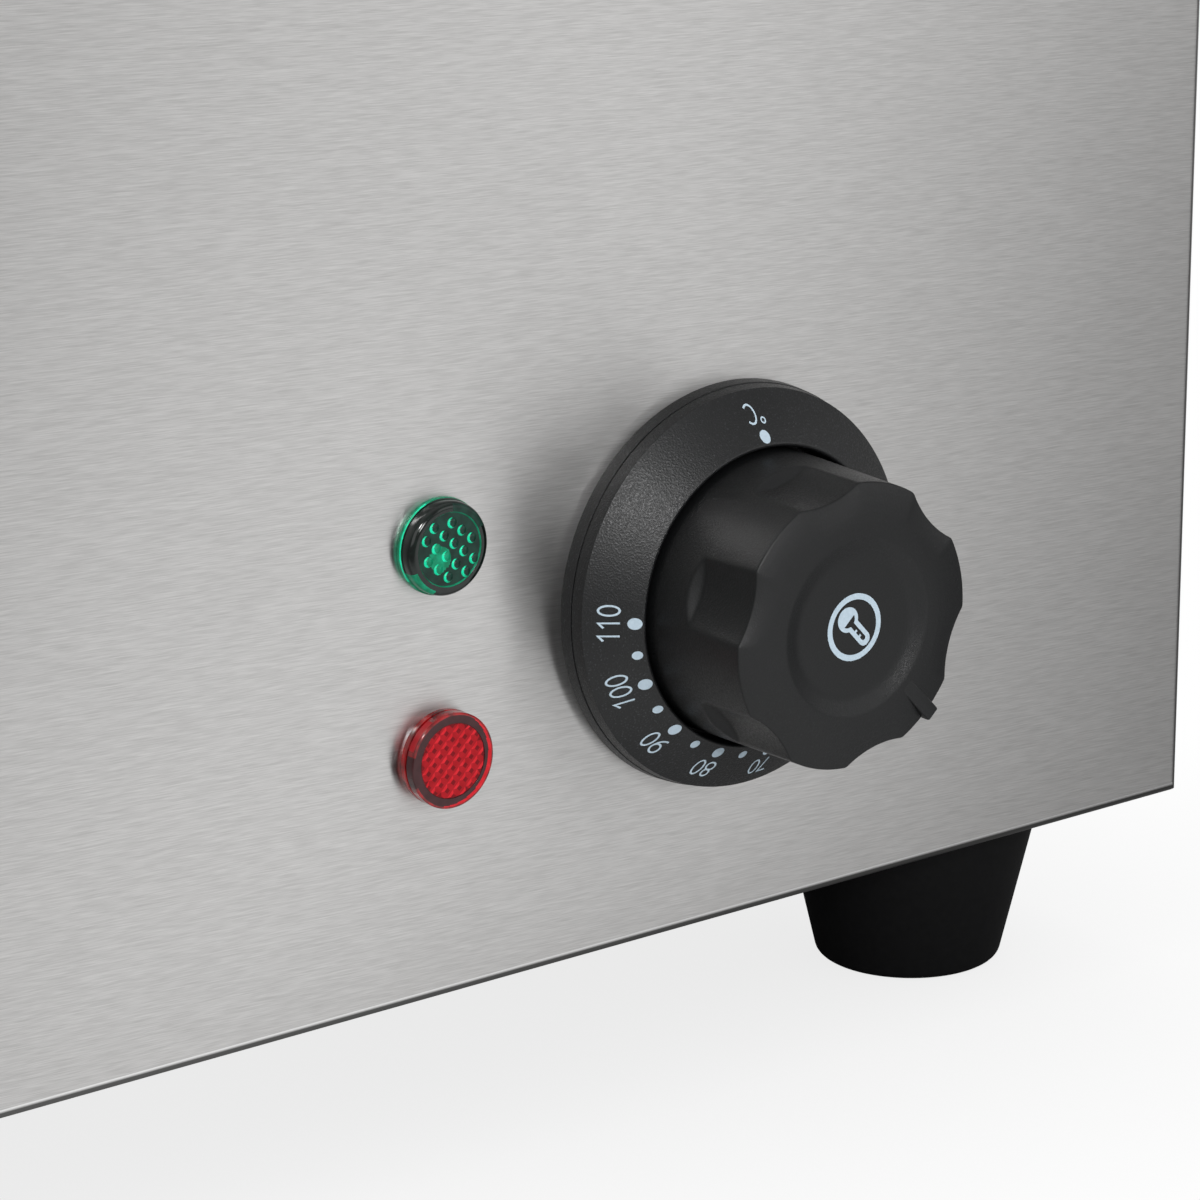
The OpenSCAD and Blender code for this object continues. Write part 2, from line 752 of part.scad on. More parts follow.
module terminal_block() {
    color("ivory") difference() {
        translate([block_x - block.x / 2, block_y - block.y / 2, base_top]) cube(block);
        for (x = [-block_screw_x, block_screw_x])
            translate([block_x + x, block_y, 0]) rod(m3_r + hole_gap, base_top - overrun, base_top + block.z + overrun);
        for (x = [-1, 0, 1], y = [-1, 1])
            translate([block_x + x * block_screw_x / 2, block_y + y * block.y / 4, 0])
                rod(m3_r, base_top + block.z / 2, base_top + block.z + overrun);
    }
}

module terminal_screws() {
    color(zinc) for (x = [-block_screw_x, block_screw_x])
        translate([block_x + x, block_y, base_top + block.z])
            screw(m3_r, m3_head_r, m3_head_h, block.z + 2 * sheet);
}

module cable_gland() {
    color(black) on_rear(gland_x, gland_z) difference() {
        union() {
            rod(gland_r, -gland_tail, gland_hex_l);
            cylinder(r = gland_hex_r, h = gland_hex_l, $fn = 6);
        }
        rod(gland_passage_r, -gland_tail - overrun, gland_hex_l + overrun);
    }
}

module gland_seal() {
    color("dimgray") on_rear(gland_x, gland_z) difference() {
        rod(gland_seal_r, gland_hex_l, gland_hex_l + gland_seal_l);
        rod(cable_r, gland_hex_l - overrun, gland_hex_l + gland_seal_l + overrun);
    }
}

module gland_cap() {
    cap_r = gland_r + 2;
    bore_r = gland_seal_r + thread_gap;
    color(black) on_rear(gland_x, gland_z) rotate_extrude() polygon([
        [bore_r, gland_hex_l], [cap_r, gland_hex_l], [cap_r, gland_hex_l + gland_cap_l - 4],
        [cap_r - 3, gland_hex_l + gland_cap_l], [gland_passage_r, gland_hex_l + gland_cap_l],
        [gland_passage_r, gland_hex_l + gland_seal_l], [bore_r, gland_hex_l + gland_seal_l]
    ]);
}

module gland_locknut() {
    color(black) on_rear(gland_x, gland_z)
        hex_nut(gland_hex_r, gland_r + thread_gap, -sheet - locknut_h, -sheet);
}

module earth_stud() {
    color("goldenrod") on_rear(earth_x, gland_z) {
        rod(m6_r, -sheet, earth_tail);
        rod(m6_head_r, -sheet - m6_head_h, -sheet);
    }
}

module earth_nuts() {
    color("goldenrod") on_rear(earth_x, gland_z) {
        difference() {
            rod(m6_head_r + 1, 0, washer_h);
            rod(m6_r + thread_gap, -overrun, washer_h + overrun);
        }
        translate([0, 0, washer_h + thread_gap]) hex_nut(m6_nut_r, m6_r + thread_gap, 0, m6_nut_h);
    }
}

module food_pan() {
    color(steel) translate([0, tank_mid_y, 0]) difference() {
        union() {
            translate([0, 0, deck_top]) linear_extrude(pan_flange_t) round_rect(pan_w, pan_l, pan_flange_r);
            translate([0, 0, deck_top - pan_depth]) linear_extrude(pan_depth)
                round_rect(pan_body_w, pan_body_l, pan_corner_r);
        }
        translate([0, 0, deck_top - pan_depth + pan_wall]) linear_extrude(pan_depth + pan_flange_t)
            round_rect(pan_body_w - 2 * pan_wall, pan_body_l - 2 * pan_wall, pan_corner_r - pan_wall);
    }
}

// Both leaves of the lid in one outline, before the cut at the hinge
module lid_sheet() {
    lip_w = pan_body_w - 2 * pan_wall - 2 * lip_gap;
    lip_l = pan_body_l - 2 * pan_wall - 2 * lip_gap;
    lip_r = pan_corner_r - pan_wall - lip_gap;
    translate([0, tank_mid_y, lid_z]) {
        linear_extrude(lid_t) round_rect(pan_w, pan_l, pan_flange_r);
        translate([0, 0, -lip_d]) linear_extrude(lip_d) difference() {
            round_rect(lip_w, lip_l, lip_r);
            round_rect(lip_w - 2 * lid_t, lip_l - 2 * lid_t, lip_r - lid_t);
        }
    }
}

// One leaf: side is 1 for the rear leaf and -1 for the front leaf
module lid_leaf(side, knuckles) {
    field_w = pan_w - 2 * field_border;
    field_l = pan_l / 2 - 2 * field_border;
    field_y = hinge_y + side * pan_l / 4;
    post_y = side > 0 ? handle_rear_y : handle_front_y;
    color(steel) difference() {
        union() {
            intersection() {
                lid_sheet();
                translate([-pan_w, hinge_y + (side > 0 ? leaf_gap : -leaf_gap - pan_l), lid_z - lip_d - overrun])
                    cube([2 * pan_w, pan_l, lip_d + lid_t + 2 * overrun]);
            }
            translate([0, field_y, lid_z]) linear_extrude(lid_t + field_h) round_rect(field_w, field_l, field_r);
            for (i = knuckles) translate([-hinge_half + i * (knuckle_l + knuckle_play), 0, 0]) {
                translate([0, hinge_y, hinge_z]) rotate([0, 90, 0]) rod(knuckle_r, 0, knuckle_l);
                translate([0, hinge_y + (side > 0 ? leaf_gap : -tab_d), lid_z])
                    cube([knuckle_l, tab_d - leaf_gap, hinge_z - lid_z]);
            }
        }
        translate([0, field_y, lid_z - overrun]) linear_extrude(field_h + overrun)
            round_rect(field_w - 2 * lid_t, field_l - 2 * lid_t, field_r - lid_t);
        translate([-hinge_half - overrun, hinge_y, hinge_z]) rotate([0, 90, 0])
            rod(pin_r + shaft_gap, 0, 2 * (hinge_half + overrun));
        for (x = [-handle_l / 2, handle_l / 2])
            translate([x, post_y, 0]) rod(handle_screw_r + hole_gap, lid_top, handle_base_z + overrun);
    }
}

module lid_rear() { lid_leaf(1, [0, 2, 4]); }
module lid_front() { lid_leaf(-1, [1, 3]); }

module lid_hinge_pin() {
    color(zinc) translate([-hinge_half, hinge_y, hinge_z]) rotate([0, 90, 0]) rod(pin_r, 0, 2 * hinge_half);
}

// Round-bar bow handle on two posts
module bow_handle(y) {
    post_h = handle_h - handle_bend - handle_r;
    reach = handle_l / 2 - handle_bend;
    color(steel) translate([0, y, handle_base_z]) difference() {
        union() {
            for (side = [-1, 1]) {
                translate([side * handle_l / 2, 0, 0]) rod(handle_r, 0, post_h);
                translate([side * reach, 0, post_h]) rotate([90, 0, side > 0 ? 0 : 180])
                    rotate_extrude(angle = 90) translate([handle_bend, 0]) circle(handle_r);
            }
            translate([-reach, 0, post_h + handle_bend]) rotate([0, 90, 0]) rod(handle_r, 0, 2 * reach);
        }
        for (side = [-1, 1])
            translate([side * handle_l / 2, 0, 0]) rod(handle_screw_r + thread_gap, -overrun, handle_screw_in);
    }
}

module lid_handle_rear() { bow_handle(handle_rear_y); }
module lid_handle_front() { bow_handle(handle_front_y); }

// Screws from under the lid's field up into a handle's posts
module handle_screws(y) {
    color(zinc) for (x = [-handle_l / 2, handle_l / 2])
        translate([x, y, handle_base_z - lid_t]) mirror([0, 0, 1])
            screw(handle_screw_r, handle_screw_head_r, handle_screw_head_h, lid_t + handle_screw_in - overrun);
}

module handle_screws_rear() { handle_screws(handle_rear_y); }
module handle_screws_front() { handle_screws(handle_front_y); }

outer_casing();
rear_cover();
rear_screws();
base_plate();
base_screws();
deck();
tank();
heating_element();
clamp_bars();
clamp_studs();
clamp_nuts();
sensor_bulb();
bulb_clip();
capillary_tube();
foot_front_left();
foot_front_right();
foot_rear_left();
foot_rear_right();
foot_screws();
foot_nuts();
dial_bezel();
knob();
thermostat_shaft();
thermostat_body();
thermostat_screws();
green_lens();
green_lamp_body();
red_lens();
red_lamp_body();
lamp_nuts();
terminal_block();
terminal_screws();
cable_gland();
gland_seal();
gland_cap();
gland_locknut();
earth_stud();
earth_nuts();
food_pan();
lid_rear();
lid_front();
lid_hinge_pin();
lid_handle_rear();
lid_handle_front();
handle_screws_rear();
handle_screws_front();
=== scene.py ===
# Countertop bain-marie: the finish of every surface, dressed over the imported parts.
import json
import math

import bmesh
import bpy
from mathutils import Matrix, Vector


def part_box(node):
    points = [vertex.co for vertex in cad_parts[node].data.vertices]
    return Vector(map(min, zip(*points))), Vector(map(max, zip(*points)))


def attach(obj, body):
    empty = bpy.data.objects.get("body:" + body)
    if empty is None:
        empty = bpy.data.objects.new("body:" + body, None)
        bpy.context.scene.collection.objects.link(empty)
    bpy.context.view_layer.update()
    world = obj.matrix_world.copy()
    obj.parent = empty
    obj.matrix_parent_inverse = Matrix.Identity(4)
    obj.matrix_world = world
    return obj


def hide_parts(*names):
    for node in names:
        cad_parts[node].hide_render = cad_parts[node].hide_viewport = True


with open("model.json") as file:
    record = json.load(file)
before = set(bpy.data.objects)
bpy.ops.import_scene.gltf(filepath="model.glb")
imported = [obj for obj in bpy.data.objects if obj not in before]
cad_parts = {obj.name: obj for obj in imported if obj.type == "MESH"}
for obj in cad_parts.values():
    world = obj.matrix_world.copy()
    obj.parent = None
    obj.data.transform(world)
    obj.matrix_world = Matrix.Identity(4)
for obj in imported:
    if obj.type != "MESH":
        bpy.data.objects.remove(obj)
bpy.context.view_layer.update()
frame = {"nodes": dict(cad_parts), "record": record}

MM = 0.001
FULL_TURN = 2 * math.pi

# The dial's place on the front panel, in millimetres seen square on: x right, y up, z out of the panel
PANEL_FACE_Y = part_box("outer_casing")[0].y
BEZEL_LOW, BEZEL_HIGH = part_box("dial_bezel")
DIAL_AXIS = Vector(((BEZEL_LOW.x + BEZEL_HIGH.x) / 2, PANEL_FACE_Y, (BEZEL_LOW.z + BEZEL_HIGH.z) / 2))
ON_PANEL = Matrix.Translation(DIAL_AXIS) @ Matrix.Rotation(math.pi / 2, 4, "X") @ Matrix.Scale(MM, 4)
STANDING = Matrix.Scale(MM, 4)

# The bezel
BEZEL_BASE_R = 32.6
BEZEL_EDGE_R = 32.0
BEZEL_WALL_H = 4.4
BEZEL_HOLE_R = 23.76
BEZEL_TOP_H = 10.6
CONE_FALL = (BEZEL_TOP_H - BEZEL_WALL_H) / (BEZEL_EDGE_R - BEZEL_HOLE_R)
INK_PROUD = 0.04

# The knob
KNOB_BASE_R = 23.2
KNOB_BASE_H = 3.2
KNOB_FRONT_R = 22.5
KNOB_EDGE_H = 30.4
KNOB_FACE_H = 31.6
DISH_R = 14.0
DISH_FLOOR_H = 30.75
SCOOPS = 6
SCOOP_R = 17.4
SCOOP_D = 1.75
SCOOP_BACK_H = 17.6
SCOOP_CORNER_H = 19.2
SCOOP_HALF_ANGLE = math.radians(15.5)
SCOOP_TILT = 0.048
SCOOP_BLEND = 0.22
SCOOP_INNER_R = 16.5
POINTER_ANGLE = math.radians(-47.4)
POINTER_W = 2.5
POINTER_REACH = 0.4

# The lamps
LENS_R = 7.5
LENS_H = 3.0
GREEN_LAMP = (-55.3, 15.9)
RED_LAMP = (-55.3, -17.2)
PLUG_R = 4.9
PLUG_D = 11

# The camera, fitted to the photograph
CAMERA_PLACE = Vector((-0.36074, -0.82343, 0.28996))
CAMERA_YAW = math.radians(37.48)
CAMERA_PITCH = math.radians(16.62)
CAMERA_ROLL = math.radians(-0.30)
CAMERA_LENS_MM = 137.13
CAMERA_SENSOR_MM = 36

# The feet
FOOT_HOLE_R = 3.2
FOOT_RECESS_R = 7.0
FOOT_RECESS_D = 12
FOOT_BOTTOM_R = 16.0
FOOT_TOP_R = 23.5

# The brushed steel. The brushing runs at a slight angle, as its streaks do in the photograph. The
# scratches, in millimetres along x, y and z, are drawn wider than real ones, which are too fine to show.
GRAIN_TILT = math.radians(3)
UPRIGHT_GRAIN = (4.5, 4.5, 0.16)
LYING_GRAIN = (0.19, 4.5, 0.19)
UPRIGHT_DRAWN_OUT = 0.95
# Below a roughness of about 0.27 the denoiser takes steel for a mirror and draws contour lines on it
UPRIGHT_ROUGH = (0.28, 0.305)
LYING_ROUGH = (0.37, 0.42)
# How far in from the casing's edges a fold starts, its painted highlight line ends, and its strip of painted
# dark reflection runs
FOLD_R = 2.0
FOLD_HIGHLIGHT_END = 1.9
FOLD_PAINTED_DARK_START = 1.75
FOLD_PAINTED_DARK_FULL = 1.35

# The floor as metal sees it, in metres and with white as 1: a pool of light that the front panel
# mirrors. It falls off to the right and to the left, comes up again far to the right, and is even behind.
POOL_MIDDLE = (0.054, -0.42, 0.0)
POOL_TURN = math.radians(45)
POOL_BRIGHT = 1.05
POOL_RIGHT = 0.16
POOL_RIGHT_EDGE = (0.01, 0.21)
POOL_LEFT = 0.27
POOL_LEFT_EDGE = (-0.02, -0.22)
POOL_FAR = 0.45
POOL_FAR_EDGE = (0.5, 1.0)
FLOOR_BEHIND = 0.55
FLOOR_BEHIND_EDGE = (-0.35, 0.0)

# The floor as the eye sees it: white, with a soft shadow round the object
FLOOR_HALF = 6
SHADOW_REACH = 0.1
SHADOW_LIGHT = 0.8

# The room: the light it gives, and how metal sees it, grey below, lighter overhead and lighter behind
ROOM_LIGHT = 0.35
ROOM_LOW = 0.35
ROOM_HIGH = 0.75
ROOM_HIGH_EDGE = (0.55, 0.95)
ROOM_BACK = 0.3
ROOM_BACK_EDGE = (0.1, 0.7)

# The snooted lamps: the lamp's radius, the soft share of its cone, and how much of the panel it lights
SNOOT_R = 0.15
SNOOT_SOFT = 0.6
SNOOT_REACH = 0.16


# Small tools

def linear(hex_colour):
    """The linear colour of an sRGB hex value."""
    channels = [int(hex_colour[i:i + 2], 16) / 255 for i in (1, 3, 5)]
    return [c / 12.92 if c <= 0.04045 else ((c + 0.055) / 1.055) ** 2.4 for c in channels] + [1.0]


def per_metre(size_mm):
    """The texture scale at which one feature of a pattern is about this many millimetres long."""
    return 1000 / size_mm


def add_node(tree, kind, sockets, **settings):
    """Adds a node with its settings, and sets or links its sockets."""
    made = tree.nodes.new(kind)
    for name, value in settings.items():
        setattr(made, name, value)
    for name, value in sockets.items():
        if isinstance(value, bpy.types.NodeSocket):
            tree.links.new(value, made.inputs[name])
        else:
            made.inputs[name].default_value = value
    return made


def new_material(name):
    """An empty node material, and its node tree."""
    material = bpy.data.materials.new(name)
    material.use_nodes = True
    material.node_tree.nodes.clear()
    return material, material.node_tree


def finish_material(tree, sockets):
    """Gives a material its shader and its output."""
    shader = add_node(tree, "ShaderNodeBsdfPrincipled", sockets)
    add_node(tree, "ShaderNodeOutputMaterial", {"Surface": shader.outputs["BSDF"]})


def fillet(corners, steps=6):
    """An outline through (radius, height, rounding) corners, with each rounding drawn as an arc."""
    points = []
    for i, (r, h, rounding) in enumerate(corners):
        here = Vector((r, h))
        if not rounding:
            points.append(here)
            continue
        before = (Vector(corners[i - 1][:2]) - here).normalized()
        after = (Vector(corners[(i + 1) % len(corners)][:2]) - here).normalized()
        half = before.angle(after) / 2
        centre = here + (before + after).normalized() * rounding / math.sin(half)
        first = here + before * rounding / math.tan(half) - centre
        last = here + after * rounding / math.tan(half) - centre
        sweep = first.angle_signed(last)
        for step in range(steps + 1):
            points.append(centre + Matrix.Rotation(-sweep * step / steps, 2) @ first)
    return points


def spread(points, longest):
    """The same open outline, with no straight run longer than the given length."""
    out = []
    for here, after in zip(points, points[1:]):
        parts = max(1, math.ceil((after - here).length / longest - 1e-6))
        out.extend(here.lerp(after, part / parts) for part in range(parts))
    return out + points[-1:]


def turned(points, steps, closed=True):
    """A mesh turned on the z axis from an outline of radius and height."""
    shape = bmesh.new()
    verts = [shape.verts.new((p.x, 0, p.y)) for p in points]
    runs = list(zip(verts, verts[1:]))
    if closed:
        runs.append((verts[-1], verts[0]))
    edges = [shape.edges.new(run) for run in runs if max(run[0].co.x, run[1].co.x) > 1e-6]
    bmesh.ops.spin(shape, geom=verts + edges, cent=(0, 0, 0), axis=(0, 0, 1), dvec=(0, 0, 0),
                   angle=FULL_TURN, steps=steps, use_merge=True, use_duplicate=False)
    bmesh.ops.remove_doubles(shape, verts=shape.verts, dist=1e-5)
    bmesh.ops.recalc_face_normals(shape, faces=shape.faces)
    return shape


def make_piece(name, shape, place, body, materials, stands_for=(), smooth_angle=30):
    """Puts a mesh in its place on a body, as one finished piece."""
    shape.transform(place)
    mesh = bpy.data.meshes.new(name)
    shape.to_mesh(mesh)
    shape.free()
    for material in materials:
        mesh.materials.append(material)
    mesh.shade_smooth()
    mesh.set_sharp_from_angle(angle=math.radians(smooth_angle))
    piece = bpy.data.objects.new(name, mesh)
    bpy.context.scene.collection.objects.link(piece)
    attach(piece, body)
    if stands_for:
        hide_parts(*stands_for)
    return piece


# Materials

def fold_distance(tree, place, node):
    """How far a point lies inside a sheet box's folded edges, and above its bottom, in metres."""
    low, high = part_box(node)
    from_middle = add_node(tree, "ShaderNodeVectorMath", {
        0: place, 1: (low + high) / 2}, operation="SUBTRACT").outputs[0]
    reach = add_node(tree, "ShaderNodeVectorMath", {0: from_middle}, operation="ABSOLUTE").outputs[0]
    inside = add_node(tree, "ShaderNodeVectorMath", {
        0: (high - low) / 2, 1: reach}, operation="SUBTRACT").outputs[0]
    side, front, bottom = add_node(tree, "ShaderNodeSeparateXYZ", {"Vector": inside}).outputs
    lesser = add_node(tree, "ShaderNodeMath", {0: side, 1: front}, operation="MINIMUM").outputs[0]
    greater = add_node(tree, "ShaderNodeMath", {0: side, 1: front}, operation="MAXIMUM").outputs[0]
    inner = add_node(tree, "ShaderNodeMath", {0: greater, 1: bottom}, operation="MINIMUM").outputs[0]
    return add_node(tree, "ShaderNodeMath", {0: lesser, 1: inner}, operation="MAXIMUM").outputs[0], bottom


def brushed_stainless(name, grain_mm, rough_range, drawn_out, folded_node=None):
    """Stainless sheet, belt-brushed: a soft grey mirror drawn out across fine straight scratches. At a
    fold the colour is painted dark, a painted reflection of the dark surroundings that a fold mirrors,
    with a painted highlight line where the bottom fold starts."""
    cloud_mm = 70
    scratch_depth_mm = 0.0025
    material, tree = new_material(name)
    place = add_node(tree, "ShaderNodeTexCoord", {}).outputs["Object"]
    scratch = add_node(tree, "ShaderNodeMapping", {
        "Vector": place, "Scale": [size * MM for size in grain_mm],
        "Rotation": (0, GRAIN_TILT, 0)}, vector_type="TEXTURE").outputs["Vector"]
    fine = add_node(tree, "ShaderNodeTexNoise", {
        "Vector": scratch, "Scale": 1.0, "Detail": 2.0, "Roughness": 0.6}).outputs["Fac"]
    band = add_node(tree, "ShaderNodeTexNoise", {
        "Vector": scratch, "Scale": 0.2, "Detail": 2.0, "Roughness": 0.5}).outputs["Fac"]
    cloud = add_node(tree, "ShaderNodeTexNoise", {
        "Vector": place, "Scale": per_metre(cloud_mm), "Detail": 2.0}).outputs["Fac"]
    mixed = add_node(tree, "ShaderNodeMix", {0: 0.12, 2: fine, 3: band}, data_type="FLOAT").outputs[0]
    tone = add_node(tree, "ShaderNodeMapRange", {
        "Value": mixed, "From Min": 0.3, "From Max": 0.7}).outputs["Result"]
    colour = add_node(tree, "ShaderNodeMix", {
        0: tone, 6: linear("#bcbbba"), 7: linear("#d4d3d2")}, data_type="RGBA").outputs[2]
    rough = add_node(tree, "ShaderNodeMapRange", {
        "Value": cloud, "From Min": 0.3, "From Max": 0.7,
        "To Min": rough_range[0], "To Max": rough_range[1]}).outputs["Result"]
    # Painted light on the folds: a near-white painted highlight line where the bottom fold starts, and a
    # painted dark reflection along every fold
    if folded_node:
        fold, bottom = fold_distance(tree, place, folded_node)
        painted_dark = add_node(tree, "ShaderNodeMapRange", {
            "Value": fold, "From Min": FOLD_PAINTED_DARK_START * MM,
            "From Max": FOLD_PAINTED_DARK_FULL * MM}).outputs["Result"]
        start = add_node(tree, "ShaderNodeMapRange", {
            "Value": fold, "From Min": FOLD_R * MM, "From Max": FOLD_HIGHLIGHT_END * MM}).outputs["Result"]
        low = add_node(tree, "ShaderNodeMath", {
            0: bottom, 1: FOLD_R * MM}, operation="LESS_THAN").outputs[0]
        line = add_node(tree, "ShaderNodeMath", {0: start, 1: low}, operation="MULTIPLY").outputs[0]
        colour = add_node(tree, "ShaderNodeMix", {
            0: line, 6: colour, 7: linear("#fbfbfa")}, data_type="RGBA").outputs[2]
        colour = add_node(tree, "ShaderNodeMix", {
            0: painted_dark, 6: colour, 7: linear("#6a6a69")}, data_type="RGBA").outputs[2]
    relief = add_node(tree, "ShaderNodeBump", {
        "Height": mixed, "Strength": 0.2, "Distance": scratch_depth_mm * MM}).outputs["Normal"]
    finish_material(tree, {
        "Base Color": colour, "Metallic": 1.0, "Roughness": rough, "Normal": relief,
        "Anisotropic": drawn_out, "Anisotropic Rotation": 0.25})
    return material


def grained_black(name, dark, light, painted_glint_colour, rough_low, rough_high, grain_mm, relief_mm, shine):
    """Black moulded plastic from a spark-eroded mould: a dull satin with a fine sparkle of grain, partly
    painted: light specks in its colour are painted glints. The grain is drawn coarser than the real one, so
    that it shows."""
    patch_mm = 18
    material, tree = new_material(name)
    place = add_node(tree, "ShaderNodeTexCoord", {}).outputs["Object"]
    grain = add_node(tree, "ShaderNodeTexNoise", {
        "Vector": place, "Scale": per_metre(grain_mm), "Detail": 1.0, "Roughness": 0.5}).outputs["Fac"]
    patch = add_node(tree, "ShaderNodeTexNoise", {
        "Vector": place, "Scale": per_metre(patch_mm), "Detail": 3.0}).outputs["Fac"]
    colour = add_node(tree, "ShaderNodeMix", {
        0: patch, 6: linear(dark), 7: linear(light)}, data_type="RGBA").outputs[2]
    # Painted glints: light specks in the colour where the grain stands highest
    painted_glint = add_node(tree, "ShaderNodeMapRange", {
        "Value": grain, "From Min": 0.62, "From Max": 0.74}).outputs["Result"]
    colour = add_node(tree, "ShaderNodeMix", {
        0: painted_glint, 6: colour, 7: linear(painted_glint_colour)}, data_type="RGBA").outputs[2]
    rough = add_node(tree, "ShaderNodeMapRange", {
        "Value": grain, "From Min": 0.35, "From Max": 0.65,
        "To Min": rough_high, "To Max": rough_low}).outputs["Result"]
    relief = add_node(tree, "ShaderNodeBump", {
        "Height": grain, "Strength": 1.0, "Distance": relief_mm * MM}).outputs["Normal"]
    finish_material(tree, {
        "Base Color": colour, "Roughness": rough, "IOR": 1.5, "Specular IOR Level": shine, "Normal": relief})
    return material


def plain_metal(name, dark, light, rough_low, rough_high, mottle_mm):
    """Plated or bare metal with a slightly uneven, mottled shine."""
    material, tree = new_material(name)
    place = add_node(tree, "ShaderNodeTexCoord", {}).outputs["Object"]
    mottle = add_node(tree, "ShaderNodeTexNoise", {
        "Vector": place, "Scale": per_metre(mottle_mm), "Detail": 4.0, "Roughness": 0.6}).outputs["Fac"]
    tone = add_node(tree, "ShaderNodeMapRange", {
        "Value": mottle, "From Min": 0.35, "From Max": 0.65}).outputs["Result"]
    colour = add_node(tree, "ShaderNodeMix", {
        0: tone, 6: linear(dark), 7: linear(light)}, data_type="RGBA").outputs[2]
    rough = add_node(tree, "ShaderNodeMapRange", {
        "Value": mottle, "From Min": 0.35, "From Max": 0.65,
        "To Min": rough_low, "To Max": rough_high}).outputs["Result"]
    finish_material(tree, {"Base Color": colour, "Metallic": 1.0, "Roughness": rough})
    return material


def matt_solid(name, dark, light, roughness, mottle_mm, relief_mm, shine=0.5):
    """Rubber, ceramic or phenolic: dull, with small uneven patches and a fine tooth."""
    material, tree = new_material(name)
    place = add_node(tree, "ShaderNodeTexCoord", {}).outputs["Object"]
    mottle = add_node(tree, "ShaderNodeTexNoise", {
        "Vector": place, "Scale": per_metre(mottle_mm), "Detail": 4.0, "Roughness": 0.6}).outputs["Fac"]
    tone = add_node(tree, "ShaderNodeMapRange", {
        "Value": mottle, "From Min": 0.3, "From Max": 0.7}).outputs["Result"]
    colour = add_node(tree, "ShaderNodeMix", {
        0: tone, 6: linear(dark), 7: linear(light)}, data_type="RGBA").outputs[2]
    relief = add_node(tree, "ShaderNodeBump", {
        "Height": mottle, "Strength": 0.3, "Distance": relief_mm * MM}).outputs["Normal"]
    finish_material(tree, {
        "Base Color": colour, "Roughness": roughness, "Specular IOR Level": shine, "Normal": relief})
    return material


def lamp_plastic(name, dark, light, roughness, shine):
    """Tinted polycarbonate over a dark lamp: a deep wet colour under a hard clear shine."""
    depth_mm = 1.5
    material, tree = new_material(name)
    place = add_node(tree, "ShaderNodeTexCoord", {}).outputs["Object"]
    depth = add_node(tree, "ShaderNodeTexNoise", {
        "Vector": place, "Scale": per_metre(depth_mm), "Detail": 2.0}).outputs["Fac"]
    tone = add_node(tree, "ShaderNodeMapRange", {
        "Value": depth, "From Min": 0.35, "From Max": 0.65}).outputs["Result"]
    colour = add_node(tree, "ShaderNodeMix", {
        0: tone, 6: linear(dark), 7: linear(light)}, data_type="RGBA").outputs[2]
    finish_material(tree, {
        "Base Color": colour, "Roughness": roughness, "IOR": 1.58, "Specular IOR Level": shine})
    return material


# The casing's material paints a dark reflection on its folds and a highlight line above its bottom fold
STEEL_CASING = brushed_stainless(
    "brushed_stainless_casing", UPRIGHT_GRAIN, UPRIGHT_ROUGH, UPRIGHT_DRAWN_OUT, "outer_casing")
STEEL_UPRIGHT = brushed_stainless(
    "brushed_stainless_upright", UPRIGHT_GRAIN, UPRIGHT_ROUGH, UPRIGHT_DRAWN_OUT)
STEEL_LYING = brushed_stainless("brushed_stainless_lying", LYING_GRAIN, LYING_ROUGH, 0.0)
# The third colour of each black is its painted glint
BEZEL_BLACK = grained_black(
    "moulded_black_bezel", "#0b0c0d", "#111213", "#2e2f32",
    rough_low=0.34, rough_high=0.5, grain_mm=0.3, relief_mm=0.06, shine=0.42)
KNOB_BLACK = grained_black(
    "moulded_black_knob", "#0b0c0d", "#121314", "#151618",
    rough_low=0.34, rough_high=0.5, grain_mm=0.3, relief_mm=0.025, shine=0.33)
FOOT_BLACK = matt_solid("moulded_foot_rubber", "#0a0a0b", "#0f0f10", 0.6, 1.2, 0.03, 0.15)
PALE_INK = matt_solid("pad_printed_pale_ink", "#b4c6d3", "#bfd0dc", 0.6, 0.5, 0.005, 0.2)
GREEN_DARK = lamp_plastic("green_polycarbonate_dark", "#050d0a", "#0a1813", 0.1, 0.4)
# Lighter copies of the green: painted light from inside the lens, from a low light to a highlight
GREEN_PAINTED_LOW_LIGHT = lamp_plastic("green_polycarbonate_painted_low_light", "#122a23", "#193a30", 0.3, 0.2)
GREEN_PAINTED_MID_LIGHT = lamp_plastic("green_polycarbonate_painted_mid_light", "#067552", "#0d9a72", 0.3, 0.2)
GREEN_PAINTED_HIGHLIGHT = lamp_plastic("green_polycarbonate_painted_highlight", "#0cd29c", "#1cf8bf", 0.3, 0.2)
RED_DARK = lamp_plastic("red_polycarbonate_dark", "#38191b", "#422023", 0.15, 0.25)
RED_WALL = lamp_plastic("red_polycarbonate_wall", "#560a0e", "#a30c12", 0.1, 0.45)
# Lighter copies of the red: painted light from inside the lens, from a low light to a highlight
RED_PAINTED_LOW_LIGHT = lamp_plastic("red_polycarbonate_painted_low_light", "#6e0c14", "#80101a", 0.35, 0.12)
RED_PAINTED_MID_LIGHT = lamp_plastic("red_polycarbonate_painted_mid_light", "#a0141d", "#b01a24", 0.35, 0.12)
RED_PAINTED_HIGHLIGHT = lamp_plastic("red_polycarbonate_painted_highlight", "#c41c26", "#d82a34", 0.35, 0.12)

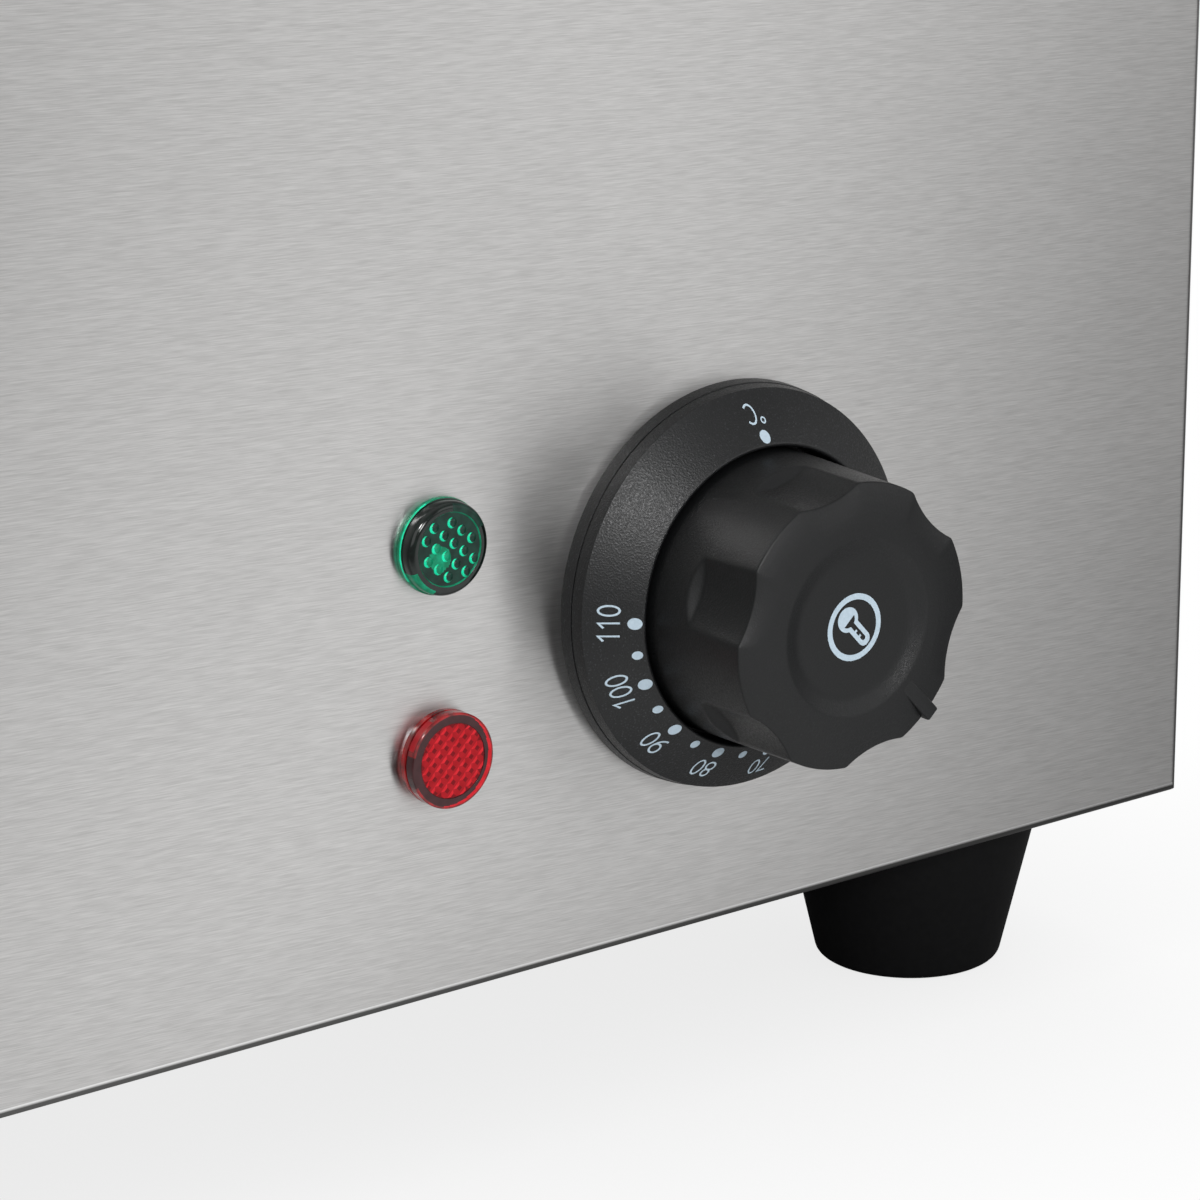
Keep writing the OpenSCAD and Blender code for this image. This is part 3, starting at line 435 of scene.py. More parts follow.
SLOT_FINISHES = {
    "stainless": STEEL_UPRIGHT,
    "zinc_steel": plain_metal("bright_zinc_plate", "#a9adb3", "#c3c6ca", 0.28, 0.4, 1.5),
    "heater_sheath": plain_metal("heated_steel_sheath", "#55504a", "#6d675f", 0.4, 0.55, 4),
    "copper": plain_metal("drawn_copper", "#9c5a38", "#b8714a", 0.25, 0.4, 3),
    "foot_rubber": FOOT_BLACK,
    "black_plastic": BEZEL_BLACK,
    "thermostat_case": matt_solid("phenolic_case", "#cfc6b4", "#d9d1c1", 0.5, 2, 0.02),
    "green_lens": GREEN_DARK,
    "red_lens": RED_DARK,
    "ceramic": matt_solid("steatite_ceramic", "#d9d4c8", "#e4dfd4", 0.45, 1.5, 0.02),
    "seal_rubber": matt_solid("seal_rubber", "#1a1a1a", "#242424", 0.6, 1.0, 0.03),
    "brass": plain_metal("turned_brass", "#a8864a", "#bf9c5c", 0.25, 0.38, 1.5),
}
LYING_NODES = ("deck", "food_pan", "lid_rear", "lid_front", "base_plate", "tank")

for subpart in frame["record"]["subparts"]:
    finish = SLOT_FINISHES[subpart["material_slot"]]
    if subpart["node"] in LYING_NODES:
        finish = STEEL_LYING
    if subpart["node"] == "outer_casing":
        finish = STEEL_CASING
    mesh = frame["nodes"][subpart["node"]].data
    mesh.materials.clear()
    mesh.materials.append(finish)


# The bezel

def make_bezel():
    groove_h = 2.1
    groove_w = 0.16
    groove_d = 0.18
    groove_slope = 0.02
    groove_round = 0.08
    edge_round = 0.14
    hole_round = 0.5
    wall_r = BEZEL_EDGE_R + 0.3
    wall_taper = 0.12
    shaft_hole_r = 5.0
    floor_under_h = 2
    floor_h = 2.5
    seat_r = 21.8
    hollow_inner_r = 25.8
    hollow_inner_h = 6.6
    hollow_outer_r = 30.0
    hollow_outer_h = 3.4
    base_inner_r = 30.6
    outline = fillet([
        (shaft_hole_r, 0, 0), (seat_r, 0, 0), (seat_r, floor_under_h, 0), (hollow_inner_r, floor_under_h, 0),
        (hollow_inner_r, hollow_inner_h, 0), (hollow_outer_r, hollow_outer_h, 0), (base_inner_r, 0, 0),
        (BEZEL_BASE_R, 0, 0), (wall_r + wall_taper, groove_h, groove_round),
        (wall_r - groove_d, groove_h + groove_slope, 0), (wall_r - groove_d, groove_h + groove_w, 0),
        (wall_r, groove_h + groove_w + groove_slope, groove_round), (BEZEL_EDGE_R, BEZEL_WALL_H, edge_round),
        (BEZEL_HOLE_R, BEZEL_TOP_H, hole_round), (BEZEL_HOLE_R, floor_h, 0), (shaft_hole_r, floor_h, 0)])
    shape = turned(outline, 192)
    make_piece("dial_ring", shape, ON_PANEL, "casing", [BEZEL_BLACK], ["dial_bezel"])


# Print

def arc(x, y, rx, ry, start, end, steps=16):
    """Points along part of an oval, with its angles in degrees."""
    angles = [math.radians(start + (end - start) * i / steps) for i in range(steps + 1)]
    return [(x + rx * math.cos(a), y + ry * math.sin(a)) for a in angles]


def circle(radius, steps=40):
    return arc(0, 0, radius, radius, 0, 360, steps)[:-1]


def flat_mesh(curve):
    """The filled face of a flat curve or of a text, as a mesh."""
    carrier = bpy.data.objects.new("flat", curve)
    bpy.context.scene.collection.objects.link(carrier)
    bpy.context.view_layer.update()
    seen = carrier.evaluated_get(bpy.context.evaluated_depsgraph_get())
    mesh = bpy.data.meshes.new_from_object(seen)
    shape = bmesh.new()
    shape.from_mesh(mesh)
    bpy.data.objects.remove(carrier)
    bpy.data.curves.remove(curve)
    bpy.data.meshes.remove(mesh)
    bmesh.ops.remove_doubles(shape, verts=shape.verts, dist=1e-5)
    return shape


def outlines_mesh(outlines):
    """A flat face with holes, from closed outlines."""
    curve = bpy.data.curves.new("outline", "CURVE")
    curve.dimensions = "2D"
    curve.fill_mode = "BOTH"
    for outline in outlines:
        spline = curve.splines.new("POLY")
        spline.points.add(len(outline) - 1)
        for point, (x, y) in zip(spline.points, outline):
            point.co = (x, y, 0, 1)
        spline.use_cyclic_u = True
    return flat_mesh(curve)


def stroke_outlines(path, width, closed):
    """The outline of a pen stroke of this width along a path."""
    points = [Vector(p) for p in path]
    left, right = [], []
    for i, here in enumerate(points):
        before = here - points[i - 1] if closed or i > 0 else points[1] - here
        after = points[(i + 1) % len(points)] - here if closed or i < len(points) - 1 else before
        before, after = before.normalized(), after.normalized()
        along = (before + after).normalized()
        across = Vector((-along.y, along.x)) * width / 2 / max(0.5, along.dot(before))
        left.append(here + across)
        right.append(here - across)
    return [left, right] if closed else [left + right[::-1]]


# The pen's paths for each printed sign, one unit high, and whether each path closes
SIGN_W = 0.64
SIX = [(arc(0.32, 0.31, 0.28, 0.31, 0, 360, 32)[:-1], True), (arc(0.62, 0.31, 0.58, 0.69, 180, 97), False)]
PEN_SIGNS = {
    "0": [(arc(0.32, 0.5, 0.29, 0.5, 0, 360, 40)[:-1], True)],
    "1": [([(0.06, 0.76), (0.36, 1.0), (0.36, 0.0)], False)],
    "3": [(arc(0.3, 0.75, 0.25, 0.25, 150, -85) + arc(0.3, 0.27, 0.29, 0.27, 80, -150), False)],
    "4": [([(0.46, 0.0), (0.46, 1.0), (0.02, 0.3)], False), ([(0.02, 0.3), (0.64, 0.3)], False)],
    "5": [([(0.56, 1.0), (0.13, 1.0), (0.08, 0.5)] + arc(0.3, 0.32, 0.3, 0.32, 130, -150), False)],
    "6": SIX,
    "7": [([(0.04, 1.0), (0.6, 1.0), (0.22, 0.0)], False)],
    "8": [(arc(0.32, 0.76, 0.24, 0.24, 0, 360, 32)[:-1], True),
          (arc(0.32, 0.27, 0.29, 0.27, 0, 360, 32)[:-1], True)],
    "9": [([(SIGN_W - x, 1 - y) for x, y in path], closed) for path, closed in SIX],
    "C": [(arc(0.38, 0.5, 0.36, 0.5, 45, 315, 24), False)],
}


def pen_outlines(words, height, pitch, stroke):
    """Words in an even pen stroke, round the origin: first strokes, then those that cross them."""
    layers = ([], [])
    size = height - stroke
    for place, sign in enumerate(words):
        middle = (place - (len(words) - 1) / 2) * pitch
        for layer, (path, closed) in zip(layers, PEN_SIGNS[sign]):
            drawn = [(middle + (x - SIGN_W / 2) * size, (y - 0.5) * size) for x, y in path]
            layer.extend(stroke_outlines(drawn, stroke, closed))
    return layers


def join(shapes):
    """Several meshes as one."""
    whole = bmesh.new()
    for shape in shapes:
        part = bpy.data.meshes.new("part")
        shape.to_mesh(part)
        shape.free()
        whole.from_mesh(part)
        bpy.data.meshes.remove(part)
    return whole


def lift_off(shape, height_at):
    """Lays flat print on a surface, just proud of it, with its faces outwards."""
    for v in shape.verts:
        v.co.z = height_at(v.co) + INK_PROUD
    for face in shape.faces:
        face.normal_update()
        if face.normal.z < 0:
            face.normal_flip()


def on_dial(outlines, angle, radius, turn=0.0):
    """Outlines moved to an angle of the dial, at a radius from its axis, their tops outwards."""
    centre = Vector((math.cos(angle), math.sin(angle))) * radius
    spin = Matrix.Rotation(angle - math.pi / 2 + turn, 2)
    return [[centre + spin @ Vector(point) for point in outline] for outline in outlines]


def make_scale_print():
    dots_r = 25.5
    big_dot = 0.93
    small_dot = 0.7
    digit_h = 2.95
    digit_pitch = 2.08
    pen = 0.3
    number_r = 28.65
    coldest = 30
    hottest = 110
    hottest_angle = 179.5
    step_c = 5
    degrees_per_c = 11.58 / step_c
    unit_r = 28.75
    unit_angle = math.radians(91.8)
    unit_ring_r = 27.7
    unit_ring_angle = math.radians(88.0)
    unit_ring = [circle(0.5), circle(0.27)]
    first, crossing = on_dial([circle(big_dot)], math.pi / 2, dots_r), []
    for reading in range(coldest, hottest + 1, step_c):
        angle = math.radians(hottest_angle + (hottest - reading) * degrees_per_c)
        full = reading % 10 == 0
        first += on_dial([circle(big_dot if full else small_dot)], angle, dots_r)
        if full:
            layers = pen_outlines(str(reading), digit_h, digit_pitch, pen)
            first += on_dial(layers[0], angle, number_r)
            crossing += on_dial(layers[1], angle, number_r)
    first += on_dial(pen_outlines("C", digit_h, digit_pitch, pen)[0], unit_angle, unit_r, math.pi)
    first += on_dial(unit_ring, unit_ring_angle, unit_ring_r)
    print_shape = join([outlines_mesh(first), outlines_mesh(crossing)])
    lift_off(print_shape, lambda p: BEZEL_WALL_H + (BEZEL_EDGE_R - math.hypot(p.x, p.y)) * CONE_FALL)
    make_piece("dial_scale", print_shape, ON_PANEL, "casing", [PALE_INK])


def make_knob_sign():
    """A thermometer in a ring: a common sign for heat, printed in the knob's dish."""
    ring_r = 5.3
    ring_w = 0.95
    bulb_x = -1.87
    bulb_r = 2.0
    stem = 1.15
    stem_end = 2.9
    hollow_r = 1.33
    bore = 0.4
    bore_end = 2.7
    level = -1.5
    ticks = (0.55, 1.7)
    tick_w = 0.42
    neck = math.degrees(math.asin(stem / bulb_r))
    mouth = math.degrees(math.asin(bore / hollow_r))
    brim = math.degrees(math.acos((level - bulb_x) / hollow_r))
    outer = arc(bulb_x, 0, bulb_r, bulb_r, neck, 360 - neck, 40) + arc(stem_end, 0, stem, stem, -90, 90)
    hollow = arc(bulb_x, 0, hollow_r, hollow_r, -brim, -mouth)
    for tick in ticks:
        hollow += [(tick, -bore), (tick, 0), (tick + tick_w, 0), (tick + tick_w, -bore)]
    hollow += arc(bore_end, 0, bore, bore, -90, 90) + arc(bulb_x, 0, hollow_r, hollow_r, mouth, brim)
    ring = outlines_mesh([circle(ring_r, 72), circle(ring_r - ring_w, 72)])
    sign = join([ring, outlines_mesh([outer, hollow])])
    sign.transform(Matrix.Rotation(POINTER_ANGLE, 4, "Z"))
    lift_off(sign, lambda p: DISH_FLOOR_H)
    make_piece("knob_sign", sign, ON_PANEL, "knob", [PALE_INK])


# The knob

def soft_min(a, b, blend):
    """The lesser of two values, with the corner between them rounded."""
    h = min(1.0, max(0.0, 0.5 + 0.5 * (b - a) / blend))
    return b + (a - b) * h - blend * h * (1 - h)


def scoop_limit(angle, height, wall):
    """How far out the knob's side reaches in a finger scoop: its round floor and sloping back end."""
    pitch = FULL_TURN / SCOOPS
    off = (angle % pitch) - pitch / 2
    away = KNOB_FRONT_R - SCOOP_D + SCOOP_R + SCOOP_TILT * (KNOB_EDGE_H - height)
    inside = SCOOP_R ** 2 - (away * math.sin(off)) ** 2
    if inside <= 0:
        return None
    floor = away * math.cos(off) - math.sqrt(inside)
    back = SCOOP_BACK_H + (SCOOP_CORNER_H - SCOOP_BACK_H) * (off / SCOOP_HALF_ANGLE) ** 2
    return -soft_min(-floor, height - back - wall, SCOOP_BLEND)


def make_knob():
    bore_r = 3.06
    hub_r = 6.5
    cavity_r = 18.8
    hub_h = 4.2
    bore_h = 25.4
    roof_h = 26.4
    dome_fall = KNOB_FACE_H - KNOB_EDGE_H
    dome_w = KNOB_FRONT_R - DISH_R
    dome_radii = (21, 19.5, 18, 16.5, 15.2)
    dome = [(r, KNOB_FACE_H - dome_fall * ((r - DISH_R) / dome_w) ** 2, 0) for r in dome_radii]
    skirt_round = 0.4
    edge_round = 0.3
    dish_round = 2.0
    dish_floor_r = 11.3
    dish_floor_round = 5
    outline = fillet([
        (0, bore_h, 0), (bore_r, bore_h, 0), (bore_r, hub_h, 0), (hub_r, hub_h, 0), (hub_r, roof_h, 0),
        (cavity_r, roof_h, 0), (cavity_r, KNOB_BASE_H, 0), (KNOB_BASE_R, KNOB_BASE_H, skirt_round),
        (KNOB_FRONT_R, KNOB_EDGE_H, edge_round)] + dome + [
        (DISH_R, KNOB_FACE_H, dish_round), (dish_floor_r, DISH_FLOOR_H, dish_floor_round),
        (0, DISH_FLOOR_H, 0)])
    # The first corners are inside the knob and stay coarse; the outside is fine enough for the scoops
    hidden = 7
    longest_run = 0.36
    shape = turned(outline[:hidden] + spread(outline[hidden:], longest_run), 480, closed=False)
    inside_r = KNOB_FRONT_R - SCOOP_D - 1
    inside_h = KNOB_EDGE_H - 2
    for v in shape.verts:
        radius = math.hypot(v.co.x, v.co.y)
        if radius < SCOOP_INNER_R or (radius < inside_r and v.co.z < inside_h):
            continue
        rise = (v.co.z - KNOB_BASE_H) / (KNOB_EDGE_H - KNOB_BASE_H)
        wall = KNOB_BASE_R + (KNOB_FRONT_R - KNOB_BASE_R) * min(1.0, rise)
        limit = scoop_limit(math.atan2(v.co.y, v.co.x), v.co.z, wall)
        if limit is None:
            continue
        share = (radius - SCOOP_INNER_R) / (wall - SCOOP_INNER_R)
        target = SCOOP_INNER_R + share * (soft_min(wall, limit, SCOOP_BLEND) - SCOOP_INNER_R)
        v.co.x *= target / radius
        v.co.y *= target / radius
    whole = join([shape, pointer_ridge()])
    whole.transform(Matrix.Rotation(POINTER_ANGLE, 4, "Z"))
    make_piece("control_knob", whole, ON_PANEL, "knob", [KNOB_BLACK], ["knob"], 40)


def pointer_ridge():
    """The pointer: a bar that rises out of the knob's face and looks over its rim."""
    inner_h = KNOB_FACE_H - 0.05
    outer_h = KNOB_FACE_H + 0.35
    low_h = 27.4
    inner_r = DISH_R + 0.4
    rounding = 0.35
    ridge = bmesh.new()
    bmesh.ops.create_cube(ridge, size=1)
    for v in ridge.verts:
        outer = v.co.x > 0
        v.co.x = KNOB_FRONT_R + POINTER_REACH if outer else inner_r
        v.co.y *= POINTER_W
        v.co.z = low_h if v.co.z < 0 else (outer_h if outer else inner_h)
    rims = [
        e for e in ridge.edges
        if all(v.co.z > low_h for v in e.verts) or all(v.co.x > DISH_R + 1 for v in e.verts)]
    bmesh.ops.bevel(ridge, geom=rims, offset=rounding, affect="EDGES", segments=4, profile=0.5, material=-1)
    return ridge


# The lamp lenses

def lens_angle(point):
    return math.degrees(math.atan2(point.y, point.x)) % 360


def make_green_lens():
    bump_r = 0.87
    pitch = 2.3
    disc_r = 5.6
    disc_edge = 0.15
    longest_run = 0.4
    rim_line = 0.5
    rim_h = 0.75
    wall_r = 7.25
    floor_h = LENS_H - 0.25
    glow = Vector((-1.7, -1.3, floor_h))
    glow_r = 2.0
    # Where the dark middle of each bump's painted highlight crescent lies
    hollow = Vector((0.25, 0.08)) * bump_r
    hollow_r = 0.85 * bump_r
    rows_angle = math.radians(-39.5)
    rows = ((-1.5, 1), (-0.5, 2), (0.5, 2), (1.5, 1))
    row_shift = 0.1
    bump_sink = 0.1
    bump_flat = Matrix.Diagonal((1, 1, 0.45, 1))
    outline = fillet([
        (0, -PLUG_D, 0), (PLUG_R, -PLUG_D, 0), (PLUG_R, 0, 0), (LENS_R, 0, 0), (LENS_R, rim_line, 0),
        (LENS_R, rim_h, 0.15), (wall_r, rim_h + 0.1, 0), (wall_r, LENS_H, 1.0),
        (disc_r + disc_edge, LENS_H, 0.1), (disc_r, floor_h, 0.05), (0, floor_h, 0)])
    lens = turned(spread(outline, longest_run), 120, closed=False)
    # Painted light: lighter copies of the green, standing in for light inside the clear plastic, go on the
    # left of the rim and in a glow at the lower left of the disc
    deep, mid, bright = 1, 2, 3
    for face in lens.faces:
        middle = face.calc_center_median()
        radius = math.hypot(middle.x, middle.y)
        angle = lens_angle(middle)
        if 0 < middle.z < rim_line:
            face.material_index = mid if 60 < angle < 250 else deep
        elif rim_line < middle.z < rim_h + 0.05:
            face.material_index = bright if 110 < angle < 215 else mid
        elif middle.z > rim_h and radius < disc_r:
            face.material_index = mid if (middle - glow).length < glow_r else deep
        elif middle.z > rim_h and radius < disc_r + disc_edge:
            face.material_index = mid
        elif middle.z > rim_h and 205 < angle < 245 and radius > 6.5:
            face.material_index = mid
        elif middle.z > rim_h and 25 < angle < 85 and radius < 7.0:
            face.material_index = deep
    shapes = [lens]
    turn = Matrix.Rotation(rows_angle, 4, "Z")
    for row, ends in rows:
        for step in range(-ends, ends + 1):
            spot = turn @ Vector(((step + row_shift) * pitch, row * pitch, floor_h - bump_sink))
            bump = bmesh.new()
            bmesh.ops.create_uvsphere(bump, u_segments=32, v_segments=20, radius=bump_r,
                                      matrix=Matrix.Translation(spot) @ bump_flat)
            # Painted highlight: the lit side of each bump gets the brightest green, round a darker middle;
            # near the painted glow the rest is a middle green
            for face in bump.faces:
                side = face.calc_center_median() - spot
                lit = (side.xy - hollow).length > hollow_r
                glowing = (spot - glow).length < glow_r + 0.8
                face.material_index = bright if lit else (mid if glowing else deep)
            shapes.append(bump)
    place = ON_PANEL @ Matrix.Translation((*GREEN_LAMP, 0))
    make_piece("green_lamp_lens", join(shapes), place, "casing",
               [GREEN_DARK, GREEN_PAINTED_LOW_LIGHT, GREEN_PAINTED_MID_LIGHT, GREEN_PAINTED_HIGHLIGHT], ["green_lens"])


def make_red_lens():
    pitch = 1.6
    rise = 0.05
    disc_r = 5.85
    ring_r = 7.2
    waist_r = 7.1
    longest_run = 0.15
    glow_w = 0.75
    glow_angle = -25
    floor_h = LENS_H - 0.15
    outline = fillet([
        (0, -PLUG_D, 0), (PLUG_R, -PLUG_D, 0), (PLUG_R, 0, 0), (LENS_R, 0, 0), (LENS_R, 0.9, 0.15),
        (waist_r, 1.0, 0), (waist_r, 1.25, 0), (LENS_R, 1.35, 0.1), (LENS_R, LENS_H, 0.22),
        (disc_r + 0.05, LENS_H, 0.03), (disc_r, floor_h, 0), (0, floor_h, 0)])
    lens = turned(spread(outline, longest_run), 120, closed=False)
    # Painted light: the front ring is dark, with a painted glow along its lower right, a painted highlight
    # on the upper left of the wall, and painted shade on the wall's left
    dark, wall, bright, mid, deep = range(5)
    for face in lens.faces:
        middle = face.calc_center_median()
        radius = math.hypot(middle.x, middle.y)
        angle = lens_angle(middle)
        if radius > ring_r or middle.z < floor_h - 0.1:
            flank = dark if 165 < angle < 205 and middle.z > 1.3 else wall
            face.material_index = mid if 118 < angle < 160 and 1.3 < middle.z < 2.6 else flank
        elif radius > disc_r:
            towards_light = math.cos(math.radians(angle - glow_angle))
            face.material_index = bright if radius > ring_r - glow_w * towards_light else dark
        elif radius < disc_r:
            face.material_index = deep
    facets = bmesh.new()
    half = 5
    bmesh.ops.create_grid(facets, x_segments=2 * half, y_segments=2 * half, size=half * pitch)
    sides = bmesh.ops.inset_individual(
        facets, faces=facets.faces[:], thickness=0.4 * pitch, depth=rise)["faces"]
    slopes = set(sides)
    # Painted light and shade: slopes that face the upper left get the brightest red, the other slopes a
    # middle red, and the flats the low red
    for face in facets.faces:
        face.normal_update()
        face.material_index = deep
        if face in slopes:
            face.material_index = bright if face.normal.y > abs(face.normal.x) else mid
    facets.transform(Matrix.Translation((0, 0, floor_h + 0.02)) @ Matrix.Rotation(math.pi / 4, 4, "Z"))
    outside = [f for f in facets.faces if math.hypot(*f.calc_center_median()[:2]) > disc_r]
    bmesh.ops.delete(facets, geom=outside, context="FACES")
    for v in facets.verts:
        radius = math.hypot(v.co.x, v.co.y)
        if radius > disc_r:
            v.co.x *= disc_r / radius
            v.co.y *= disc_r / radius
    place = ON_PANEL @ Matrix.Translation((*RED_LAMP, 0))
    make_piece("red_lamp_lens", join([lens, facets]), place, "casing",
               [RED_DARK, RED_WALL, RED_PAINTED_HIGHLIGHT, RED_PAINTED_MID_LIGHT, RED_PAINTED_LOW_LIGHT], ["red_lens"], 12)


# The feet

def make_feet():
    for corner in ("front_left", "front_right", "rear_left", "rear_right"):
        node = "foot_" + corner
        low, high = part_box(node)
        height = (high.z - low.z) / MM
        outline = fillet([
            (FOOT_HOLE_R, FOOT_RECESS_D, 0), (FOOT_RECESS_R, FOOT_RECESS_D, 0.4), (FOOT_RECESS_R, 0, 0.6),
            (FOOT_BOTTOM_R, 0, 1.8), (FOOT_TOP_R, height, 0), (FOOT_HOLE_R, height, 0)])
        shape = turned(outline, 96)
        place = Matrix.Translation(((low.x + high.x) / 2, (low.y + high.y) / 2, low.z)) @ STANDING
        make_piece("rubber_" + node, shape, place, "casing", [FOOT_BLACK], [node])


make_bezel()
make_scale_print()
make_knob()
make_knob_sign()
make_green_lens()
make_red_lens()
make_feet()


# Camera

def make_camera():
    forward = Vector((math.sin(CAMERA_YAW) * math.cos(CAMERA_PITCH),
                      math.cos(CAMERA_YAW) * math.cos(CAMERA_PITCH), -math.sin(CAMERA_PITCH)))
    right = Vector((math.cos(CAMERA_YAW), -math.sin(CAMERA_YAW), 0))
    up = right.cross(forward)
    tilted_right = right * math.cos(CAMERA_ROLL) + up * math.sin(CAMERA_ROLL)
    tilted_up = up * math.cos(CAMERA_ROLL) - right * math.sin(CAMERA_ROLL)
    data = bpy.data.cameras.new("camera")
    data.lens = CAMERA_LENS_MM
    data.sensor_width = CAMERA_SENSOR_MM
    data.clip_start = 0.01
    camera = bpy.data.objects.new("camera", data)
    bpy.context.scene.collection.objects.link(camera)
    turn = Matrix((tilted_right, tilted_up, -forward)).transposed().to_4x4()
    camera.matrix_world = Matrix.Translation(CAMERA_PLACE) @ turn
    bpy.context.scene.camera = camera


# Light and floor

def hang_lamp(name, data, place, target, watts):
    """Puts a lamp in its place and aims it at its target."""
    data.energy = watts
    light = bpy.data.objects.new(name, data)
    bpy.context.scene.collection.objects.link(light)
    aim = (Vector(target) - Vector(place)).to_track_quat("-Z", "Y").to_matrix().to_4x4()
    light.matrix_world = Matrix.Translation(place) @ aim


def make_softbox(name, place, target, size, watts):
    """A large soft lamp, with its width and height in metres."""
    data = bpy.data.lights.new(name, "AREA")
    data.shape = "RECTANGLE"
    data.size, data.size_y = size
    hang_lamp(name, data, place, target, watts)


def make_snoot(name, place, target, reach, watts):
    """A lamp in a snoot: its light falls only within this reach of the target."""
    data = bpy.data.lights.new(name, "SPOT")
    data.shadow_soft_size = SNOOT_R
    data.spot_size = 2 * math.atan(reach / (Vector(target) - Vector(place)).length)
    data.spot_blend = SNOOT_SOFT
    hang_lamp(name, data, place, target, watts)


def make_floor():
    """The eye sees a white floor with a soft shadow. Metal sees a pool of light on it."""
    shape = bmesh.new()
    bmesh.ops.create_grid(shape, x_segments=1, y_segments=1, size=FLOOR_HALF)
    mesh = bpy.data.meshes.new("floor")
    shape.to_mesh(mesh)
    shape.free()
    floor = bpy.data.objects.new("floor", mesh)
    bpy.context.scene.collection.objects.link(floor)
    material, tree = new_material("white_studio_floor")
    path = add_node(tree, "ShaderNodeLightPath", {}).outputs
    place = add_node(tree, "ShaderNodeTexCoord", {}).outputs["Object"]
    turned_place = add_node(tree, "ShaderNodeMapping", {
        "Vector": place, "Location": POOL_MIDDLE,
        "Rotation": (0, 0, POOL_TURN)}, vector_type="TEXTURE").outputs[0]
    across = add_node(tree, "ShaderNodeSeparateXYZ", {"Vector": turned_place}).outputs["X"]
    right = add_node(tree, "ShaderNodeMapRange", {
        "Value": across, "From Min": POOL_RIGHT_EDGE[0], "From Max": POOL_RIGHT_EDGE[1],
        "To Min": POOL_BRIGHT, "To Max": POOL_RIGHT},
        interpolation_type="SMOOTHSTEP").outputs["Result"]
    left = add_node(tree, "ShaderNodeMapRange", {
        "Value": across, "From Min": POOL_LEFT_EDGE[0], "From Max": POOL_LEFT_EDGE[1],
        "To Min": 1.0, "To Max": POOL_LEFT},
        interpolation_type="SMOOTHSTEP").outputs["Result"]
    far = add_node(tree, "ShaderNodeMapRange", {
        "Value": across, "From Min": POOL_FAR_EDGE[0], "From Max": POOL_FAR_EDGE[1],
        "To Min": 0.0, "To Max": POOL_FAR},
        interpolation_type="SMOOTHSTEP").outputs["Result"]
    pool = add_node(tree, "ShaderNodeMath", {0: right, 1: left, 2: far}, operation="MULTIPLY_ADD").outputs[0]
    depth = add_node(tree, "ShaderNodeSeparateXYZ", {"Vector": place}).outputs["Y"]
    behind = add_node(tree, "ShaderNodeMapRange", {
        "Value": depth, "From Min": FLOOR_BEHIND_EDGE[0], "From Max": FLOOR_BEHIND_EDGE[1]},
        interpolation_type="SMOOTHSTEP").outputs["Result"]
    pool = add_node(tree, "ShaderNodeMix", {
        0: behind, 2: pool, 3: FLOOR_BEHIND}, data_type="FLOAT").outputs[0]
    shade = add_node(tree, "ShaderNodeAmbientOcclusion", {"Distance": SHADOW_REACH}, samples=8).outputs["AO"]
    soft_shade = add_node(tree, "ShaderNodeMapRange", {
        "Value": shade, "To Min": SHADOW_LIGHT, "To Max": 1.0}).outputs["Result"]
    metal_sees = add_node(tree, "ShaderNodeMath", {0: pool, 1: shade}, operation="MULTIPLY").outputs[0]
    strength = add_node(tree, "ShaderNodeMix", {
        0: path["Is Glossy Ray"], 2: soft_shade, 3: metal_sees}, data_type="FLOAT").outputs[0]
    seen = add_node(tree, "ShaderNodeMath", {
        0: path["Is Camera Ray"], 1: path["Is Glossy Ray"]}, operation="MAXIMUM").outputs[0]
    seen = add_node(tree, "ShaderNodeMath", {
        0: seen, 1: path["Is Transmission Ray"]}, operation="MAXIMUM").outputs[0]
    paint = add_node(tree, "ShaderNodeBsdfDiffuse", {"Color": linear("#e4e4e4")}).outputs[0]
    white = add_node(tree, "ShaderNodeEmission", {
        "Color": linear("#ffffff"), "Strength": strength}).outputs[0]
    mixed = add_node(tree, "ShaderNodeMixShader", {0: seen, 1: paint, 2: white}).outputs[0]
    add_node(tree, "ShaderNodeOutputMaterial", {"Surface": mixed})
    mesh.materials.append(material)


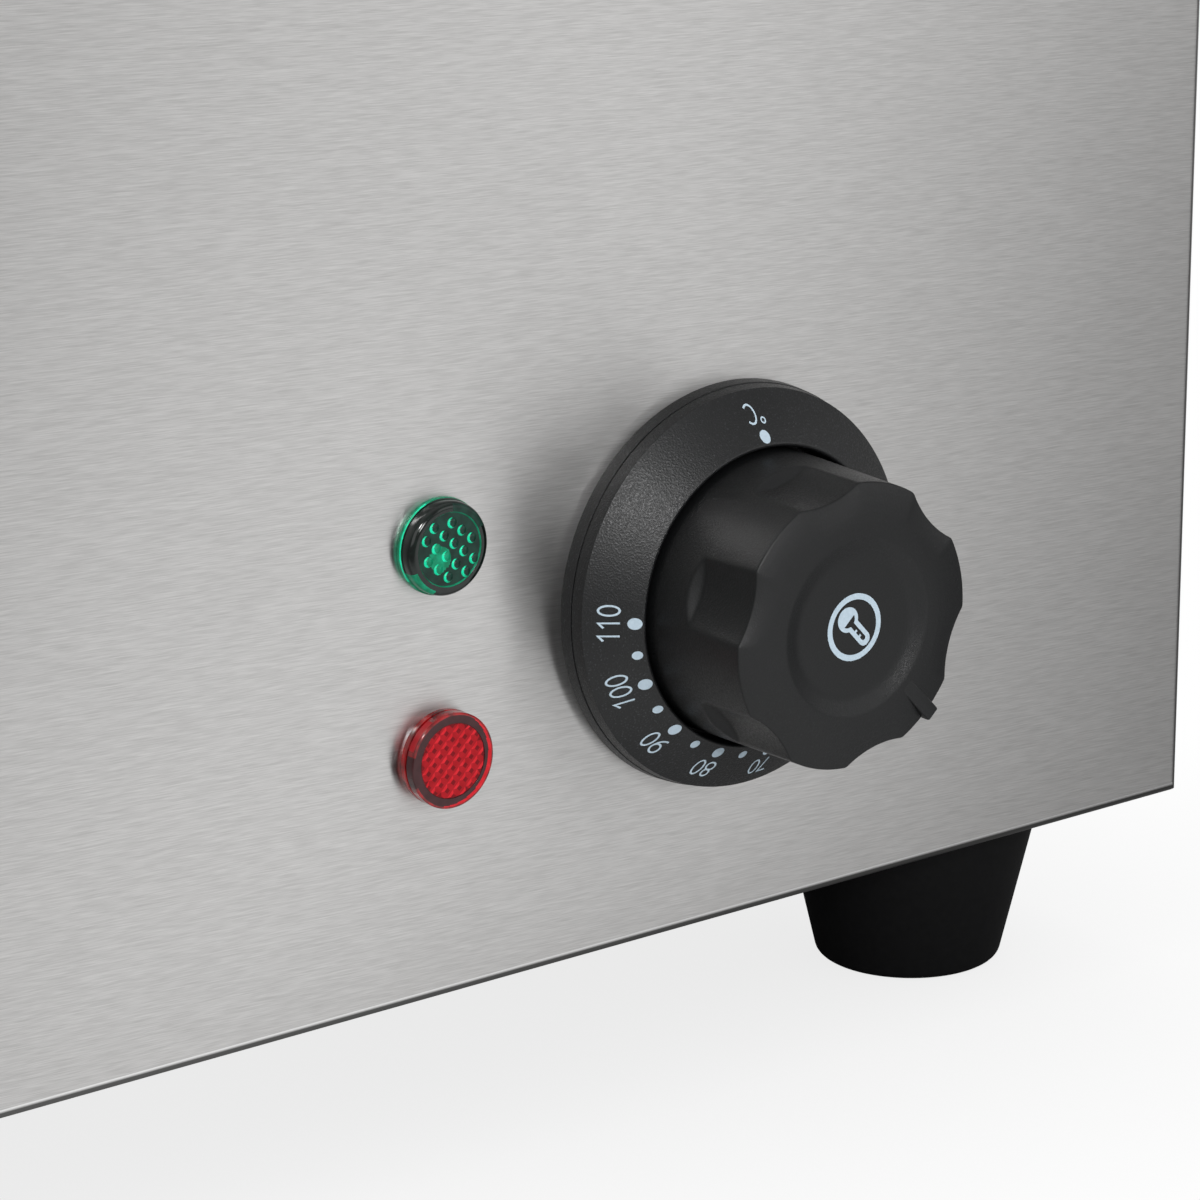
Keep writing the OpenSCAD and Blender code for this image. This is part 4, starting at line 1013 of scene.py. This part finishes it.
def make_world():
    """A pale studio: white to the eye, greyer where metal looks at it, and dimmer as light."""
    world = bpy.data.worlds.new("studio")
    bpy.context.scene.world = world
    world.use_nodes = True
    tree = world.node_tree
    tree.nodes.clear()
    path = add_node(tree, "ShaderNodeLightPath", {}).outputs
    seen = add_node(tree, "ShaderNodeMath", {
        0: path["Is Camera Ray"], 1: path["Is Transmission Ray"]}, operation="MAXIMUM").outputs[0]
    way = add_node(tree, "ShaderNodeTexCoord", {}).outputs["Generated"]
    direction = add_node(tree, "ShaderNodeSeparateXYZ", {"Vector": way}).outputs
    ceiling = add_node(tree, "ShaderNodeMapRange", {
        "Value": direction["Z"], "From Min": ROOM_HIGH_EDGE[0], "From Max": ROOM_HIGH_EDGE[1],
        "To Min": ROOM_LOW, "To Max": ROOM_HIGH},
        interpolation_type="SMOOTHSTEP").outputs["Result"]
    backdrop = add_node(tree, "ShaderNodeMapRange", {
        "Value": direction["Y"], "From Min": ROOM_BACK_EDGE[0], "From Max": ROOM_BACK_EDGE[1],
        "To Min": 0.0, "To Max": ROOM_BACK},
        interpolation_type="SMOOTHSTEP").outputs["Result"]
    mirrored = add_node(tree, "ShaderNodeMath", {0: ceiling, 1: backdrop}, operation="ADD").outputs[0]
    dim = add_node(tree, "ShaderNodeMix", {
        0: path["Is Glossy Ray"], 2: ROOM_LIGHT, 3: mirrored}, data_type="FLOAT").outputs[0]
    strength = add_node(tree, "ShaderNodeMix", {0: seen, 2: dim, 3: 1.0}, data_type="FLOAT").outputs[0]
    back = add_node(tree, "ShaderNodeBackground", {
        "Color": linear("#ffffff"), "Strength": strength}).outputs[0]
    add_node(tree, "ShaderNodeOutputWorld", {"Surface": back})


make_camera()
make_floor()
make_world()
make_softbox(
    "left_softbox", place=(-1.55, -1.75, 0.95), target=(0.0, -0.29, 0.1), size=(1.8, 1.4), watts=8)
make_softbox(
    "right_softbox", place=(1.6, -1.8, 0.6), target=(0.05, -0.29, 0.1), size=(1.8, 1.0), watts=6)
make_snoot(
    "dial_key", place=(-0.5, -1.78, 0.93), target=(0.05, -0.29, 0.09), reach=SNOOT_REACH, watts=68)
make_snoot(
    "dial_front", place=(0.24, -2.19, 0.35), target=(0.07, -0.3, 0.09), reach=SNOOT_REACH, watts=38)
bpy.context.scene.view_settings.view_transform = "Standard"
